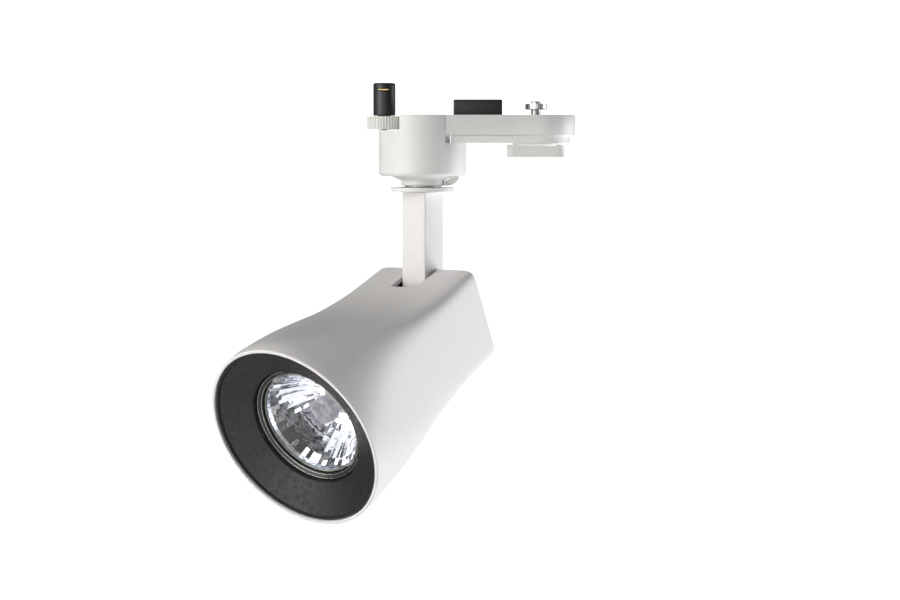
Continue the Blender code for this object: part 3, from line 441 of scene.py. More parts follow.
LOOKS = {
    "white_plastic": moulded("white_moulding", (0.80, 0.80, 0.785)),
    "white_coat": powder_coat(),
    "black_coat": black_texture(),
    "black_plastic": moulded("black_moulding", (0.025, 0.025, 0.027), 0.36),
    "grey_plastic": moulded("pale_grey_moulding", (0.77, 0.785, 0.745), 0.42),
    "steel": zinc(),
    "brass": brass(),
    "ceramic": steatite(),
    "mirror_glass": mirror(),
    "clear_glass": clear_glass(),
    "frosted_glass": frosted(),
    "lead_brown": insulation("brown_insulation", (0.22, 0.10, 0.045)),
    "lead_blue": insulation("blue_insulation", (0.03, 0.10, 0.38)),
}
WHEEL_LOOK = moulded("wheel_moulding", (0.74, 0.74, 0.715), 0.4)
EDGE_LOOK = edge_glass()
# bright metal for the beads' front crests: painted highlight
BEAD_HIGHLIGHT_LOOK = bead()
# inside of the head: bare casting with painted shade, darkened to near black
INSIDE_SHADE_LOOK = painted_shade_inside()


# ------------------------------------------------------------------------------ shape helpers
def mesh_from(bm, place):
    """A mesh in metres from a bmesh in millimetres, smooth with sharp corners kept."""
    bmesh.ops.recalc_face_normals(bm, faces=bm.faces)
    mesh = bpy.data.meshes.new("piece")
    bm.to_mesh(mesh)
    bm.free()
    mesh.transform(Matrix.Scale(MM, 4) @ place)
    mesh.shade_smooth()
    mesh.set_sharp_from_angle(angle=math.radians(SHARP_DEG))
    return mesh


def new_object(name, bm, place):
    obj = bpy.data.objects.new(name, mesh_from(bm, place))
    bpy.context.scene.collection.objects.link(obj)
    return obj


def settle(obj):
    """Replace the object's mesh by its evaluated one and clear its modifiers."""
    graph = bpy.context.evaluated_depsgraph_get()
    mesh = bpy.data.meshes.new_from_object(obj.evaluated_get(graph))
    obj.modifiers.clear()
    obj.data = mesh
    mesh.shade_smooth()
    mesh.set_sharp_from_angle(angle=math.radians(SHARP_DEG))
    return obj


def boolean(obj, others, operation):
    for other in others:
        mod = obj.modifiers.new(operation.lower(), "BOOLEAN")
        mod.operation = operation
        mod.solver = "EXACT"
        mod.object = other
    settle(obj)
    for other in others:
        bpy.data.objects.remove(other)
    return obj


def carve(obj, *others):
    return boolean(obj, others, "DIFFERENCE")


def weld(obj, *others):
    return boolean(obj, others, "UNION")


def soften(obj, width, segments=2, angle=40):
    """Round the edges that are sharper than the angle."""
    mod = obj.modifiers.new("bevel", "BEVEL")
    mod.width = width * MM
    mod.segments = segments
    mod.limit_method = "ANGLE"
    mod.angle_limit = math.radians(angle)
    return settle(obj)


def dress(obj, body, slot, nodes, look=None):
    """Give a finished piece its material and its body, and hide the CAD nodes that it stands for."""
    obj.data.materials.clear()
    obj.data.materials.append(look or LOOKS[slot])
    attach(obj, body)
    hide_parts(*nodes)
    return obj


def rounded(points, closed=True, count=4):
    """An outline whose corners given as (x, y, radius) are rounded."""
    result = []
    size = len(points)
    for i, point in enumerate(points):
        corner = Vector(point[:2])
        radius = point[2] if len(point) > 2 else 0
        if not radius or (not closed and i in (0, size - 1)):
            result.append(tuple(corner))
            continue
        before = Vector(points[i - 1][:2]) - corner
        after = Vector(points[(i + 1) % size][:2]) - corner
        half = before.angle(after) / 2
        reach = min(radius / math.tan(half), 0.48 * before.length, 0.48 * after.length)
        start = corner + before.normalized() * reach
        end = corner + after.normalized() * reach
        for k in range(count + 1):
            t = k / count
            result.append(tuple((1 - t) ** 2 * start + 2 * t * (1 - t) * corner + t * t * end))
    return result


def polar(radius, degrees):
    angle = math.radians(degrees)
    return radius * math.cos(angle), radius * math.sin(angle)


def arc(cx, cy, radius, start, end, count):
    """Points along a circle, in degrees, both ends included."""
    for i in range(count + 1):
        angle = math.radians(start + (end - start) * i / count)
        yield cx + radius * math.cos(angle), cy + radius * math.sin(angle)


def lathe(name, profile, place=WORLD, steps=96, ring=False):
    """Turn (radius, height) points about Z. A ring's profile is closed, any other ends on the axis."""
    bm = bmesh.new()
    columns = []
    poles = {}
    for step in range(steps):
        angle = math.tau * step / steps
        column = []
        for k, (r, z) in enumerate(profile):
            if r < 1e-6:
                poles[k] = poles.get(k) or bm.verts.new((0, 0, z))
                column.append(poles[k])
            else:
                column.append(bm.verts.new((r * math.cos(angle), r * math.sin(angle), z)))
        columns.append(column)
    spans = len(profile) if ring else len(profile) - 1
    for step in range(steps):
        here = columns[step]
        there = columns[(step + 1) % steps]
        for k in range(spans):
            m = (k + 1) % len(profile)
            corners = [here[k], here[m], there[m], there[k]]
            unique = list(dict.fromkeys(corners))
            if len(unique) > 2:
                bm.faces.new(unique)
    return new_object(name, bm, place)


def slab(name, outline, low, high, edge=0.0, place=WORLD, segments=2):
    """A flat outline with thickness, its two rims rounded when edge is given."""
    bm = bmesh.new()
    points = list(outline)
    bottom = [bm.verts.new((x, y, low)) for x, y in points]
    top = [bm.verts.new((x, y, high)) for x, y in points]
    caps = [bm.faces.new(reversed(bottom)), bm.faces.new(top)]
    for i in range(len(points)):
        j = (i + 1) % len(points)
        bm.faces.new((bottom[i], bottom[j], top[j], top[i]))
    if edge:
        rims = [e for cap in caps for e in cap.edges]
        bmesh.ops.bevel(bm, geom=rims, offset=edge, segments=segments, affect="EDGES", profile=0.5)
    return new_object(name, bm, place)


def block(name, low, high, edge=0.0, place=WORLD, segments=3, upright_only=False):
    """A box between two corners with rounded edges."""
    bm = bmesh.new()
    bmesh.ops.create_cube(bm, size=1.0)
    low = Vector(low)
    high = Vector(high)
    bmesh.ops.scale(bm, vec=high - low, verts=bm.verts)
    bmesh.ops.translate(bm, vec=(low + high) / 2, verts=bm.verts)
    if edge:
        chosen = [e for e in bm.edges
                  if not upright_only or abs((e.verts[0].co - e.verts[1].co).normalized().z) > 0.99]
        bmesh.ops.bevel(bm, geom=chosen, offset=edge, segments=segments, affect="EDGES", profile=0.5)
    return new_object(name, bm, place)


def rod(name, radius, low, high, place=WORLD, steps=64, edge=0.0):
    """A cylinder along Z between two heights."""
    corner = (edge,) if edge else ()
    profile = rounded([(0, high), (radius, high, *corner), (radius, low, *corner), (0, low)], closed=False)
    return lathe(name, profile, place, steps)


def arm_outline(start_x, half, end_x, count=40):
    """A bar along X with a square start and a round end."""
    return [(start_x, -half), *arc(end_x, 0, half, -90, 90, count), (start_x, half)]


def hexagon(across):
    """Corners of a hexagon from its width across flats."""
    return list(arc(0, 0, across / math.sqrt(3), 0, 300, 5))


# ------------------------------------------------------------------------------ adapter
def adapter_housing():
    """Casing: drum with a raised middle, pocket for the wheel and an arm with a round end."""
    out, up = BOSS_SHOULDER
    drum = rounded([(0, 0), (DRUM_R, 0, 0.4), (DRUM_R, DRUM_BOTTOM + DRUM_CHAMFER, 0.5),
                    (DRUM_R - DRUM_CHAMFER, DRUM_BOTTOM, 0.5), (BOSS_R[0], DRUM_BOTTOM, 0.6),
                    (BOSS_R[1] + out, BOSS_BOTTOM + up, 1.2), (BOSS_R[1], BOSS_BOTTOM), (0, BOSS_BOTTOM)],
                   closed=False)
    casing = lathe("adapter_casing", drum, steps=160)
    reach = DRUM_R + 2
    lid_step = LID_BOTTOM - GAP
    ceiling = lid_step - CASE_WALL
    carve(casing,
          block("cut", (-reach, -reach, WHEEL_STEP), (-BLOCK_HALF, reach, 2)),
          block("cut", (BLOCK_HALF, -reach, lid_step), (reach, reach, 2)))
    weld(casing,
         slab("add", arm_outline(ARM_ROOT_X, ARM_HALF, ARM_END_X, 48), ARM_BOTTOM, 0),
         block("add", (BLOCK_HALF - 1, -NOTCH_HALF, lid_step - 0.5),
               (LID_START_X - GAP, NOTCH_HALF, ARM_BOTTOM + 0.5)))
    soften(casing, CASE_EDGE)
    throat = BLOCK_HALF - CASE_WALL
    cavity = arm_outline(CAVITY_START_X, ARM_HALF - CASE_WALL, ARM_END_X)
    depth, half = WHEEL_POCKET
    carve(casing,
          rod("cut", DRUM_R - CASE_WALL, DRUM_BOTTOM + CASE_WALL, ceiling, steps=96),
          block("cut", (-throat, -THROAT_HALF, ceiling - 1), (throat, THROAT_HALF, 1)),
          slab("cut", cavity, ARM_BOTTOM + CASE_WALL, 1.3),
          block("cut", (-BLOCK_HALF - 1, -half, WHEEL_STEP + 0.05), (-BLOCK_HALF + depth, half, 1.6)),
          rod("cut", NIPPLE_R + GAP, BOSS_BOTTOM - 1, DRUM_BOTTOM + 4),
          rod("cut", LOCK_SHAFT_R + GAP, ARM_BOTTOM - 1, -3, shift(LOCK_X, 0, 0)),
          rod("cut", TURRET_STUB_R + GAP, WHEEL_STEP - 4, 1, shift(WHEEL_X, 0, 0)),
          *[rod("cut", LID_SCREW_R + GAP, ARM_BOTTOM - 1, -3, shift(x, y, 0), 32) for x, y in LID_SCREWS])
    dress(casing, "adapter", "white_plastic", ["adapter_housing"])


def adapter_cover():
    """Flat cover in the casing's open top, level with its rim."""
    inset = CASE_WALL + GAP
    cover = slab("seat_cover", arm_outline(-BLOCK_HALF + inset, COVER_HALF, ARM_END_X), -COVER_T, 0)
    carve(cover,
          rod("cut", LOCK_SHAFT_R + GAP, -9, 1, shift(LOCK_X, 0, 0)),
          block("cut", (KEY_X[0] - GAP, -KEY_HALF - GAP, KEY_Z[0] - GAP),
                (KEY_X[1] + GAP, KEY_HALF + GAP, 1)))
    dress(cover, "adapter", "white_plastic", ["adapter_cover"])


def guide_key():
    """Key that fills the track's slot, with the earth contact in its side."""
    key = block("slot_key", (KEY_X[0], -KEY_HALF, KEY_Z[0]), (KEY_X[1], KEY_HALF, KEY_Z[1]), 0.6)
    low, high = zip(EARTH_X, EARTH_Y, EARTH_Z)
    room_low = [value - GAP for value in low]
    room_high = (high[0] + GAP, KEY_HALF + 1.5, high[2] + GAP)
    carve(key, block("cut", room_low, room_high, 0.2))
    dress(key, "adapter", "black_plastic", ["guide_key"])
    contact = block("earth_blade", low, high, 0.7)
    dress(contact, "adapter", "brass", ["earth_contact"])


def arm_lid():
    """Lid under the arm, with its two screws."""
    outline = arm_outline(LID_START_X, ARM_HALF - LID_INSET, ARM_END_X, 48)
    lid = slab("arm_lid_cap", outline, LID_BOTTOM - GAP + SEAM, ARM_BOTTOM - SEAM, 0.35, segments=3)
    screw = (LID_SCREW_R, LID_SCREW_HEAD_R, LID_SCREW_TIP, LID_BOTTOM - LID_SCREW_SUNK)
    carve(lid,
          rod("cut", LOCK_SHAFT_R + GAP, -20, 0, shift(LOCK_X, 0, 0)),
          *[screw_room(*screw, shift(x, y, 0)) for x, y in LID_SCREWS])
    dress(lid, "adapter", "white_plastic", ["arm_lid"])
    for number, (x, y) in enumerate(LID_SCREWS, 1):
        fixing = countersunk("lid_fixing_%d" % number, *screw, shift(x, y, 0))
        dress(fixing, "adapter", "steel", ["lid_screw_%d" % number])


def screw_room(shank, head, tip, face, place):
    """Cutter that clears a countersunk screw all round."""
    shank += GAP
    head += GAP
    start, end = ROOM_CONE
    profile = [(0, tip + 1), (shank, tip + 1), (shank, face + end), (head, face + start),
               (head, face - 2), (0, face - 2)]
    return lathe("cut", profile, place, 48)


def countersunk(name, shank, head, tip, face, place):
    """Countersunk screw along Z with its cross recess looking to -Z."""
    start, end = SCREW_CONE
    profile = rounded([(0, tip), (shank, tip, 0.3), (shank, face + end, 0.3), (head, face + start, 0.15),
                       (head, face, 0.15), (0, face)], closed=False, count=3)
    screw = lathe(name, profile, place, 48)
    arms = ((RECESS_REACH, RECESS_HALF), (RECESS_HALF, RECESS_REACH))
    return carve(screw, *[block("cut", (-a, -b, face - 0.5), (a, b, face + RECESS_DEPTH), place=place)
                          for a, b in arms])


def swivel_fixed():
    """Collar and stop lug fixed under the drum."""
    inner = NIPPLE_R + GAP
    top = BOSS_BOTTOM - SEAM
    profile = rounded([(BUSH_R, top, 0.1), (BUSH_R, BUSH_BOTTOM, 0.5), (inner, BUSH_BOTTOM), (inner, top)])
    dress(lathe("swivel_collar", profile, ring=True), "adapter", "white_plastic", ["swivel_bush"])
    near, far = STOP_R
    inward, height = STOP_ROUND
    outer = [(far - inward + x, BUSH_BOTTOM + height - y) for x, y in quarter(inward, height, 12)]
    section_points = [*outer, (near, BUSH_BOTTOM), (near, BOSS_BOTTOM - GAP),
                      (BOSS_R[0] + 0.2, DRUM_BOTTOM - GAP)]
    lug = lathe("stop_lug", section_points, steps=144, ring=True)
    wedge = slab("cut", [(0, 0), *arc(0, 0, 1.5 * far, *STOP_ANGLES, 4)], 2 * BUSH_BOTTOM, 0)
    boolean(lug, [wedge], "INTERSECT")
    soften(lug, 0.15)
    dress(lug, "adapter", "grey_plastic", ["swivel_stop"])


def quarter(across, down, count):
    """Points of a quarter ellipse from (across, 0) to (0, down)."""
    for i in range(count + 1):
        angle = math.pi / 2 * i / count
        yield across * math.cos(angle), down * math.sin(angle)


def contact_turret():
    """Knurled wheel, insulating post and its two contact blades."""
    spot = shift(WHEEL_X, 0, 0)
    step = 360 / WHEEL_RIBS
    outline = [polar(WHEEL_R - depth, step * (i + share))
               for i in range(WHEEL_RIBS) for share, depth in RIB_PROFILE]
    wheel = slab("knurled_wheel", outline, *WHEEL_Z, place=spot)
    carve(wheel, rod("cut", TURRET_NECK_R + GAP, -9, 1, spot))
    dress(wheel, "selector", "grey_plastic", ["selector_wheel"], WHEEL_LOOK)
    shoulder = WHEEL_Z[1] + GAP
    profile = rounded([(0, TURRET_TOP), (TURRET_R, TURRET_TOP, 1.0), (TURRET_R, shoulder, 0.2),
                       (TURRET_NECK_R, shoulder), (TURRET_NECK_R, TURRET_NECK_BOTTOM, 0.2),
                       (TURRET_STUB_R, TURRET_NECK_BOTTOM), (TURRET_STUB_R, TURRET_STUB_BOTTOM, 0.4),
                       (0, TURRET_STUB_BOTTOM)], closed=False)
    post = lathe("turret_post", profile, spot)
    back, out = BLADE_REACH
    room = BLADE_HALF + GAP
    for pole, side, z in BLADES:
        low_y, high_y = sorted((-back * side, out * side))
        top = z + BLADE_T
        carve(post, block("cut", (-room, low_y - GAP, z - GAP), (room, high_y + GAP, top + GAP), place=spot))
        blade = block("contact_tongue_" + pole, (-BLADE_HALF, low_y, z), (BLADE_HALF, high_y, top), 0.3, spot)
        dress(blade, "selector", "brass", ["contact_blade_" + pole])
    dress(post, "selector", "black_plastic", ["contact_turret"])


def lock():
    """Knob under the lid, shaft through the arm and wing above the seat."""
    spot = shift(LOCK_X, 0, 0)
    top = LID_BOTTOM - GAP
    bottom = top - LOCK_DISC_T
    r = LOCK_DISC_R
    disc = rounded([(0, top), (r, top, 0.2), (r, top - 0.6, 0.4), (r - 1.0, bottom, 0.3), (0, bottom)],
                   closed=False)
    knob = lathe("lock_handle", disc, spot, 128)
    length, width = LOCK_GRIP
    straight = (length - width) / 2
    grip = [*arc(straight, 0, width / 2, -90, 90, 20), *arc(-straight, 0, width / 2, 90, 270, 20)]
    weld(knob, slab("add", grip, LOCK_BOTTOM, top - 0.7, 0.35, spot, 3))
    carve(knob, rod("cut", LOCK_SHAFT_R + GAP, LOCK_BOTTOM + 1.8, 0, spot))
    dress(knob, "lock", "grey_plastic", ["lock_knob"])
    shaft = rod("lock_spindle", LOCK_SHAFT_R, LOCK_BOTTOM + 2.2, WING_Z[1] + 1.2, spot, edge=0.4)
    dress(shaft, "lock", "steel", ["lock_shaft"])
    half_x, half_y = WING_HALF
    outline = [*arc(0, half_y - half_x, half_x, 0, 180, 24), *arc(0, half_x - half_y, half_x, 180, 360, 24)]
    wing = slab("lock_vane", outline, *WING_Z, 0.3, spot)
    carve(wing, rod("cut", LOCK_SHAFT_R + GAP, 0, 12, spot))
    dress(wing, "lock", "steel", ["lock_wing"])


# ------------------------------------------------------------------------------ stem
def stem():
    """Swivel disc, threaded nipple and the square tube that carries the head."""
    inner = NIPPLE_R + GAP
    low, high = DISC_Z
    plate = rounded([(DISC_R, high, 0.35), (DISC_R, low, 0.35), (inner, low), (inner, high)])
    disc = lathe("swivel_plate", plate, STEM, 128, ring=True)
    weld(disc, rod("add", TOOTH_R, low + 0.5, BUSH_BOTTOM + TOOTH_OVERLAP, STEM @ shift(0, TOOTH_OUT, 0), 32))
    dress(disc, "stem", "white_coat", ["swivel_disc"])
    dress(nipple(), "stem", "steel", ["threaded_nipple"])
    half_x, half_y = STEM_HALF
    tube = block("stem_post", (-half_x, -half_y, PIVOT_Z - half_y - 1), (half_x, half_y, low - GAP),
                 0.7, STEM, upright_only=True)
    inner_x = half_x - STEM_WALL
    inner_y = half_y - STEM_WALL
    below = [(-12, 0), *arc(0, 0, half_y, 180, 360, 40), (12, 0), (12, -14), (-12, -14)]
    side = STEM @ shift(0, 0, PIVOT_Z) @ turn("Z", 90) @ turn("X", 90)
    carve(tube, block("cut", (-inner_x, -inner_y, PIVOT_Z - 12), (inner_x, inner_y, 0), 0.4, STEM,
                      upright_only=True),
          slab("cut", below, -10, 10, place=side),
          rod("cut", BOLT_R + GAP, -12, 12, PIVOT))
    dress(tube, "stem", "white_coat", ["stem_tube"])


def nipple():
    """Hollow threaded rod; the thread is a row of fine grooves."""
    low, high = NIPPLE_Z
    turns = int((high - low - 1) / THREAD_PITCH)
    root = NIPPLE_R - THREAD_DEPTH
    outer = [(NIPPLE_R - 0.3, high)]
    for i in range(turns):
        crest = high - 0.4 - THREAD_PITCH * i
        outer += [(NIPPLE_R, crest), (NIPPLE_R, crest - 0.2), (root, crest - 0.5), (root, crest - 0.6)]
    outer.append((NIPPLE_R - 0.3, low))
    return lathe("hollow_stud", [*outer, (NIPPLE_BORE, low), (NIPPLE_BORE, high)], STEM, 64, ring=True)


# ------------------------------------------------------------------------------ head shell
def station_values(back):
    """Half width, half height and squareness of the shell at a distance back."""
    rows = HEAD_STATIONS
    i = max(k for k in range(len(rows) - 1) if rows[k][0] <= back or k == 0)
    span = rows[i + 1][0] - rows[i][0]
    t = (back - rows[i][0]) / span
    values = []
    for column in (1, 2, 3):
        p1 = rows[i][column]
        p2 = rows[i + 1][column]
        step = (p2 - p1) / span
        before = (p1 - rows[i - 1][column]) / (rows[i][0] - rows[i - 1][0]) if i else step
        after = (rows[i + 2][column] - p2) / (rows[i + 2][0] - rows[i + 1][0]) if i + 2 < len(rows) else step
        m1 = (before + step) / 2 * span
        m2 = (after + step) / 2 * span
        values.append((2 * t ** 3 - 3 * t ** 2 + 1) * p1 + (t ** 3 - 2 * t ** 2 + t) * m1
                      + (3 * t ** 2 - 2 * t ** 3) * p2 + (t ** 3 - t ** 2) * m2)
    return values


def section(half_w, half_h, squareness, count):
    """Points of a superellipse, spread evenly by angle."""
    for i in range(count):
        angle = math.tau * (i + 0.5) / count
        c = math.cos(angle)
        s = math.sin(angle)
        reach = (abs(c) ** squareness + abs(s) ** squareness) ** (-1 / squareness)
        yield c * reach * half_w, s * reach * half_h


def shell_rows(count):
    """Rings of the shell: outside from lip to rear, then inside from rear to lip."""
    rings = list(LIP_ROWS)
    rear = HEAD_LENGTH - REAR_ROUND
    back = ROW_STEP
    while back < rear:
        rings.append((back, 0.0))
        back += ROW_STEP
    for degrees in range(0, 91, 15):
        angle = math.radians(degrees)
        rings.append((rear + REAR_ROUND * math.sin(angle), -REAR_ROUND * (1 - math.cos(angle))))
    turn_row = len(rings)
    back = HEAD_LENGTH - HEAD_WALL
    while back > 6:
        rings.append((back, -HEAD_WALL))
        back -= INNER_ROW_STEP
    rings += [(4.0, -RIM_WALL), (0.3, -RIM_WALL), (0.08, -RIM_WALL + 0.08), (0.0, -RIM_WALL + 0.3)]
    rows = []
    for back, inset in rings:
        half_w, half_h, power = station_values(back)
        rows.append([(x, y, -back) for x, y in section(half_w + inset, half_h + inset, power, count)])
    return rows, turn_row


def bracket_screw_places():
    """Axes of the two screws that come up through the shell's floor."""
    return [OPTIC @ shift(0, 0, -PIVOT_BACK + side * BRACKET_SCREW_STEP) @ turn("X", -90) for side in (-1, 1)]


def lamp_housing():
    """Shell lofted from a round rim to a rounded rectangle, closed at the rear, slotted for the stem."""
    count = SHELL_COUNT
    rows, turn_row = shell_rows(count)
    bm = bmesh.new()
    loops = [[bm.verts.new(point) for point in row] for row in rows]
    for k in range(len(loops)):
        if k == turn_row - 1:
            continue
        near = loops[k]
        far = loops[(k + 1) % len(loops)]
        for i in range(count):
            j = (i + 1) % count
            face = bm.faces.new((near[i], far[i], far[j], near[j]))
            # the inside rows, all but the rim strips, take the second material: bare casting darkened as
            # painted shade
            face.material_index = int(turn_row <= k < len(loops) - RIM_STRIPS)
    bm.faces.new(reversed(loops[turn_row - 1]))
    bm.faces.new(loops[turn_row]).material_index = 1
    shell = new_object("head_shell", bm, OPTIC)
    shell.data.materials.append(LOOKS["white_coat"])
    shell.data.materials.append(INSIDE_SHADE_LOOK)
    slot_low = (-SLOT_HALF, SLOT_LOW, -HEAD_LENGTH - 5)
    tools = [block("cut", slot_low, (SLOT_HALF, 30, -SLOT_FRONT), SLOT_EDGE, OPTIC)]
    for place in bracket_screw_places():
        tools.append(screw_room(*BRACKET_SCREW, place))
    for tool in tools:
        tool.data.materials.append(LOOKS["white_coat"])
    carve(shell, *tools)
    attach(shell, "head")
    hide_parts("lamp_housing")


# ------------------------------------------------------------------------------ baffle and lamp
def front_baffle():
    """Black cone from the rim to the lamp, with the short tube round the lamp."""
    tube_out = BAFFLE_INNER_R + BAFFLE_WALL
    cone_out = BAFFLE_R - BAFFLE_WALL
    profile = rounded([(BAFFLE_R, BAFFLE_FRONT, 0.2), (BAFFLE_R, -3.6), (cone_out, -3.6),
                       (tube_out, -BAFFLE_DEPTH - BAFFLE_WALL), (tube_out, -LAMP_TUBE_END),
                       (BAFFLE_INNER_R, -LAMP_TUBE_END), (BAFFLE_INNER_R + 0.5, -BAFFLE_DEPTH + 1.7, 0.2),
                       (cone_out, -1.9, 0.3), (BAFFLE_R - 0.8, BAFFLE_FRONT, 0.15)])
    dress(lathe("glare_cone", profile, OPTIC, 192, ring=True), "head", "black_coat", ["front_baffle"])


def lamp_faces(obj):
    """Each face of a piece with its middle in the lamp's frame, in millimetres."""
    inverse = OPTIC.inverted()
    return [(face, inverse @ (face.center / MM)) for face in obj.data.polygons]


def retaining_ring():
    """Spring ring over the glass: dark, with two raised beads whose front crests are painted bright as
    highlights.
    """
    profile = [(CLIP_R[1], CLIP_Z), (CLIP_R[0], CLIP_Z)]
    for r, z, radius in BEADS:
        profile += arc(r, z, radius, 200, -20, 10)
    ring = lathe("glass_clip", profile, OPTIC, 160, ring=True)
    dress(ring, "head", "black_coat", ["lamp_retaining_ring"], LOOKS["black_plastic"])
    ring.data.materials.append(BEAD_HIGHLIGHT_LOOK)
    # each bead's front crest takes the bright metal: a painted highlight
    for face, spot in lamp_faces(ring):
        reach = math.hypot(spot.x, spot.y)
        if any(abs(reach - r) < BEAD_HIGHLIGHT_SHARE * radius and spot.z > z for r, z, radius in BEADS):
            face.material_index = 1


def front_glass():
    """Clear disc with a ground edge."""
    front, back = (-LAMP_FRONT + step for step in GLASS_Z)
    profile = rounded([(0, front), (GLASS_R, front, 0.6), (GLASS_R, back, 0.2), (0, back)], closed=False)
    glass = lathe("glass_disc", profile, OPTIC, 144)
    dress(glass, "head", "clear_glass", ["lamp_front_glass"])
    glass.data.materials.append(EDGE_LOOK)
    for face, spot in lamp_faces(glass):
        if math.hypot(spot.x, spot.y) > GLASS_R - GLASS_RIM:
            face.material_index = 1


def bowl_depth(share):
    """Depth of the reflector bowl against the share of the way in from its rim."""
    return math.sin(share * math.pi / 2) ** 1.15


def reflector():
    """Glass bowl with pleated mirror facets in stepped rings."""
    columns = SECTORS * 2
    rim = LAMP_FRONT + BOWL_RIM
    depth = NECK_BACK - 4.0 - rim - 3.2
    inner_rim = LAMP_R - BOWL_WALL
    outer_neck = NECK_R + BOWL_WALL
    chance = random.Random(5)
    bm = bmesh.new()

    def loop(radius, back):
        made = []
        for i in range(columns):
            angle = math.tau * i / columns
            made.append(bm.verts.new((radius * math.cos(angle), radius * math.sin(angle), -back(i))))
        return made

    loops = []
    for j in range(FACET_RINGS + 1):
        share = j / FACET_RINGS
        radius = inner_rim + (NECK_R - inner_rim) * share
        back = rim + 2.2 + depth * bowl_depth(share)
        pleat = FACET_PLEAT * radius / LAMP_R
        noise = [chance.uniform(-FACET_NOISE, FACET_NOISE) for _ in range(columns)]
        loops.append(loop(radius, lambda i: back - (pleat if i % 2 else 0) + noise[i]))
    plain = [(NECK_R, NECK_BACK), (outer_neck, NECK_BACK)]
    for j in range(FACET_RINGS, -1, -1):
        share = j / FACET_RINGS
        plain.append((LAMP_R + (outer_neck - LAMP_R) * share, rim + 3.2 + depth * bowl_depth(share)))
    plain += [(LAMP_R, rim), (inner_rim, rim)]
    for radius, back in plain:
        loops.append(loop(radius, lambda i: back))
    for k in range(len(loops)):
        near = loops[k]
        far = loops[(k + 1) % len(loops)]
        for i in range(columns):
            j = (i + 1) % columns
            bm.faces.new((near[i], near[j], far[j], far[i]))
    bowl = new_object("facet_bowl", bm, OPTIC)
    dress(bowl, "head", "mirror_glass", ["lamp_reflector"])
    bowl.data.shade_flat()


def burner_cap():
    """Frosted cap over the burner, with a low dome and a pressed ring."""
    profile = rounded(CAP_PROFILE, closed=False)
    dress(lathe("burner_shield", profile, OPTIC, 96), "head", "frosted_glass", ["burner_cap"])


# ------------------------------------------------------------------------------ tilt joint
def tilt_joint():
    """Bracket on the shell's floor, with the bolt, nut and screws that hold the stem."""
    z = -PIVOT_BACK
    low = BRACKET_FLOOR
    half_x = EAR_INNER + EAR_T - 0.3
    half_z = EAR_R - 0.5
    bracket = block("tilt_yoke", (-half_x, low, z - half_z), (half_x, low + BRACKET_T, z + half_z),
                    PLATE_EDGE, OPTIC)
    outline = [(-EAR_R, low + 0.4), (EAR_R, low + 0.4), *arc(0, PIVOT_UP, EAR_R, 0, 180, 36)]
    ears = []
    for side in (-1, 1):
        place = OPTIC @ shift(side * (EAR_INNER + EAR_T / 2), 0, z) @ turn("Y", 90)
        ears.append(slab("add", outline, -EAR_T / 2, EAR_T / 2, PLATE_EDGE, place))
    weld(bracket, *ears)
    places = bracket_screw_places()
    carve(bracket,
          rod("cut", BOLT_R + GAP, -15, 15, PIVOT),
          *[rod("cut", BRACKET_HOLE_R, low - 1, low + 3, place, 32) for place in places])
    dress(bracket, "head", "steel", ["pivot_bracket"])
    for number, place in enumerate(places, 1):
        screw = countersunk("yoke_fixing_%d" % number, *BRACKET_SCREW, place)
        dress(screw, "head", "steel", ["bracket_screw_%d" % number])
    outer = EAR_INNER + EAR_T + GAP
    crown = outer + BOLT_HEAD_T
    tail = -outer - BOLT_TAIL
    profile = rounded([(0, crown), (BOLT_HEAD_R, crown, 0.7), (BOLT_HEAD_R, outer, 0.2), (BOLT_R, outer),
                       (BOLT_R, tail, 0.4), (0, tail)], closed=False)
    bolt = lathe("tilt_bolt", profile, PIVOT, 64)
    carve(bolt, slab("cut", hexagon(SOCKET_ACROSS), outer + 1.4, outer + 5, place=PIVOT))
    dress(bolt, "head", "steel", ["pivot_bolt"])
    nut = slab("tilt_nut", hexagon(NUT_ACROSS), -outer - NUT_T, -outer, 0.3, PIVOT)
    carve(nut, rod("cut", BOLT_R + GAP, -20, 0, PIVOT))
    dress(nut, "head", "steel", ["pivot_nut"])


# ------------------------------------------------------------------------------ carried-over nodes
def refinish_nodes():
    """Give each CAD node that stays in view the look of its slot, which its material is named for."""
    for obj in frame["nodes"].values():
        if not obj.hide_render:
            slot = obj.data.materials[0].name.split(".")[0]
            obj.data.materials[0] = LOOKS[slot]


# ------------------------------------------------------------------------------ studio
def stage():
    """Round pale floor that sweeps up into a low wall, and a plain surround that only the camera sees."""
    finish = Finish("studio_white", (0.92, 0.92, 0.92), 0.9).mottle(3, 0.01)
    finish.set(Emission_Color=(1.0, 1.0, 1.0, 1.0), Emission_Strength=FLOOR_GLOW)
    sweep_z = FLOOR_Z + SWEEP_R
    wall_in = FLOOR_R + SWEEP_R
    wall_out = wall_in + FLOOR_T
    profile = [(0, FLOOR_Z), (FLOOR_R, FLOOR_Z), *arc(FLOOR_R, sweep_z, SWEEP_R, -90, 0, 16),
               (wall_in, WALL_TOP), (wall_out, WALL_TOP),
               *arc(FLOOR_R, sweep_z, SWEEP_R + FLOOR_T, 0, -90, 16), (0, FLOOR_Z - FLOOR_T)]
    floor = lathe("studio_floor", profile, WORLD, 128)
    profile = [(0, SURROUND_Z), (SURROUND_R, SURROUND_Z), (SURROUND_R, WALL_TOP),
               *arc(0, WALL_TOP, SURROUND_R, 4, 86, 20), (0, WALL_TOP + SURROUND_R)]
    surround = lathe("studio_surround", profile, WORLD, 96)
    surround.visible_transmission = False
    surround.visible_shadow = False
    for piece in (floor, surround):
        piece.data.materials.append(finish.mat)
        piece.visible_diffuse = False
        piece.visible_glossy = False


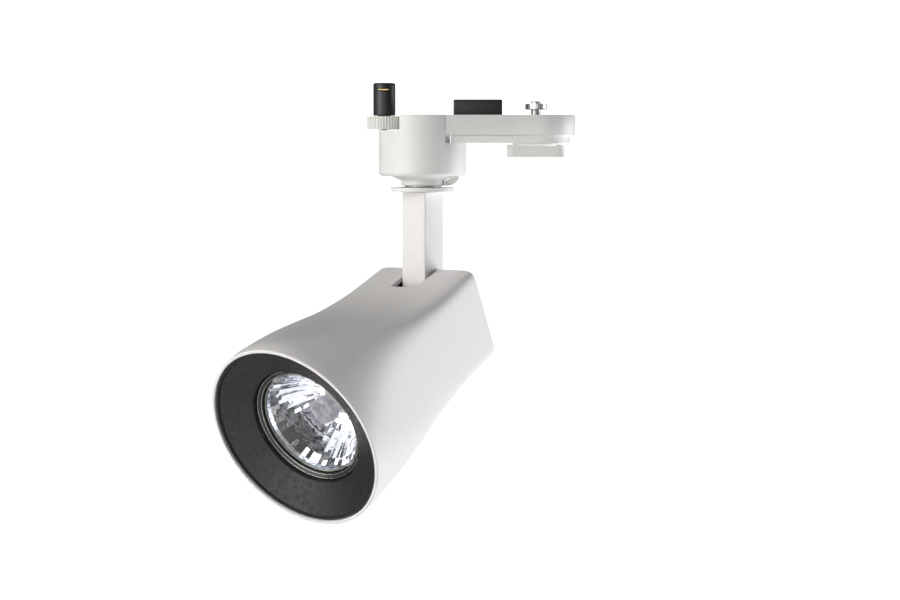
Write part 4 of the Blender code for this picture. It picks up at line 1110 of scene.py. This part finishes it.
def soft_light(name, azimuth, elevation, distance, size, radiance, tint):
    """Area light aimed at the object; azimuth 0 stands at -Y and 90 at +X, in degrees."""
    data = bpy.data.lights.new(name, "AREA")
    data.shape = "RECTANGLE"
    data.size, data.size_y = size
    data.energy = radiance * math.pi * data.size * data.size_y
    data.color = tint
    lamp = bpy.data.objects.new(name, data)
    bpy.context.scene.collection.objects.link(lamp)
    a = math.radians(azimuth)
    e = math.radians(elevation)
    aim = Vector(LIGHT_AIM)
    out = Vector((math.sin(a) * math.cos(e), -math.cos(a) * math.cos(e), math.sin(e)))
    lamp.location = aim + out * distance
    lamp.rotation_euler = (-out).to_track_quat("-Z", "Y").to_euler()
    lamp.visible_camera = False
    return lamp


def world():
    """Surroundings: bright below, dim level and above."""
    made = bpy.data.worlds.new("studio")
    bpy.context.scene.world = made
    made.use_nodes = True
    tree = made.node_tree
    coords = tree.nodes.new("ShaderNodeTexCoord")
    split = tree.nodes.new("ShaderNodeSeparateXYZ")
    spread = tree.nodes.new("ShaderNodeMapRange")
    spread.inputs["From Min"].default_value = -1.0
    ramp = tree.nodes.new("ShaderNodeValToRGB")
    elements = ramp.color_ramp.elements
    while len(elements) < len(WORLD_STOPS):
        elements.new(0.5)
    for element, (place, level) in zip(elements, WORLD_STOPS):
        element.position = place
        element.color = (*[level * part for part in WORLD_TINT], 1.0)
    tree.links.new(coords.outputs["Generated"], split.inputs["Vector"])
    tree.links.new(split.outputs["Z"], spread.inputs["Value"])
    tree.links.new(spread.outputs["Result"], ramp.inputs["Fac"])
    tree.links.new(ramp.outputs["Color"], tree.nodes["Background"].inputs["Color"])


def camera():
    """Camera a metre in front, a little below the track and looking slightly down."""
    data = bpy.data.cameras.new("camera")
    data.sensor_width = CAMERA_SENSOR
    data.lens = CAMERA_LENS
    data.clip_start = 0.05
    made = bpy.data.objects.new("camera", data)
    bpy.context.scene.collection.objects.link(made)
    made.location = CAMERA_SPOT
    made.rotation_euler = (math.radians(90 - CAMERA_DOWN_DEG), 0, 0)
    bpy.context.scene.camera = made


def main():
    camera()
    stage()
    world()
    for row in LIGHTS:
        soft_light(*row)
    soft_light(*CARD).visible_diffuse = False
    adapter_housing()
    adapter_cover()
    guide_key()
    arm_lid()
    swivel_fixed()
    contact_turret()
    lock()
    stem()
    lamp_housing()
    front_baffle()
    retaining_ring()
    front_glass()
    reflector()
    burner_cap()
    tilt_joint()
    refinish_nodes()


bpy.context.scene.view_settings.view_transform = "Standard"
main()
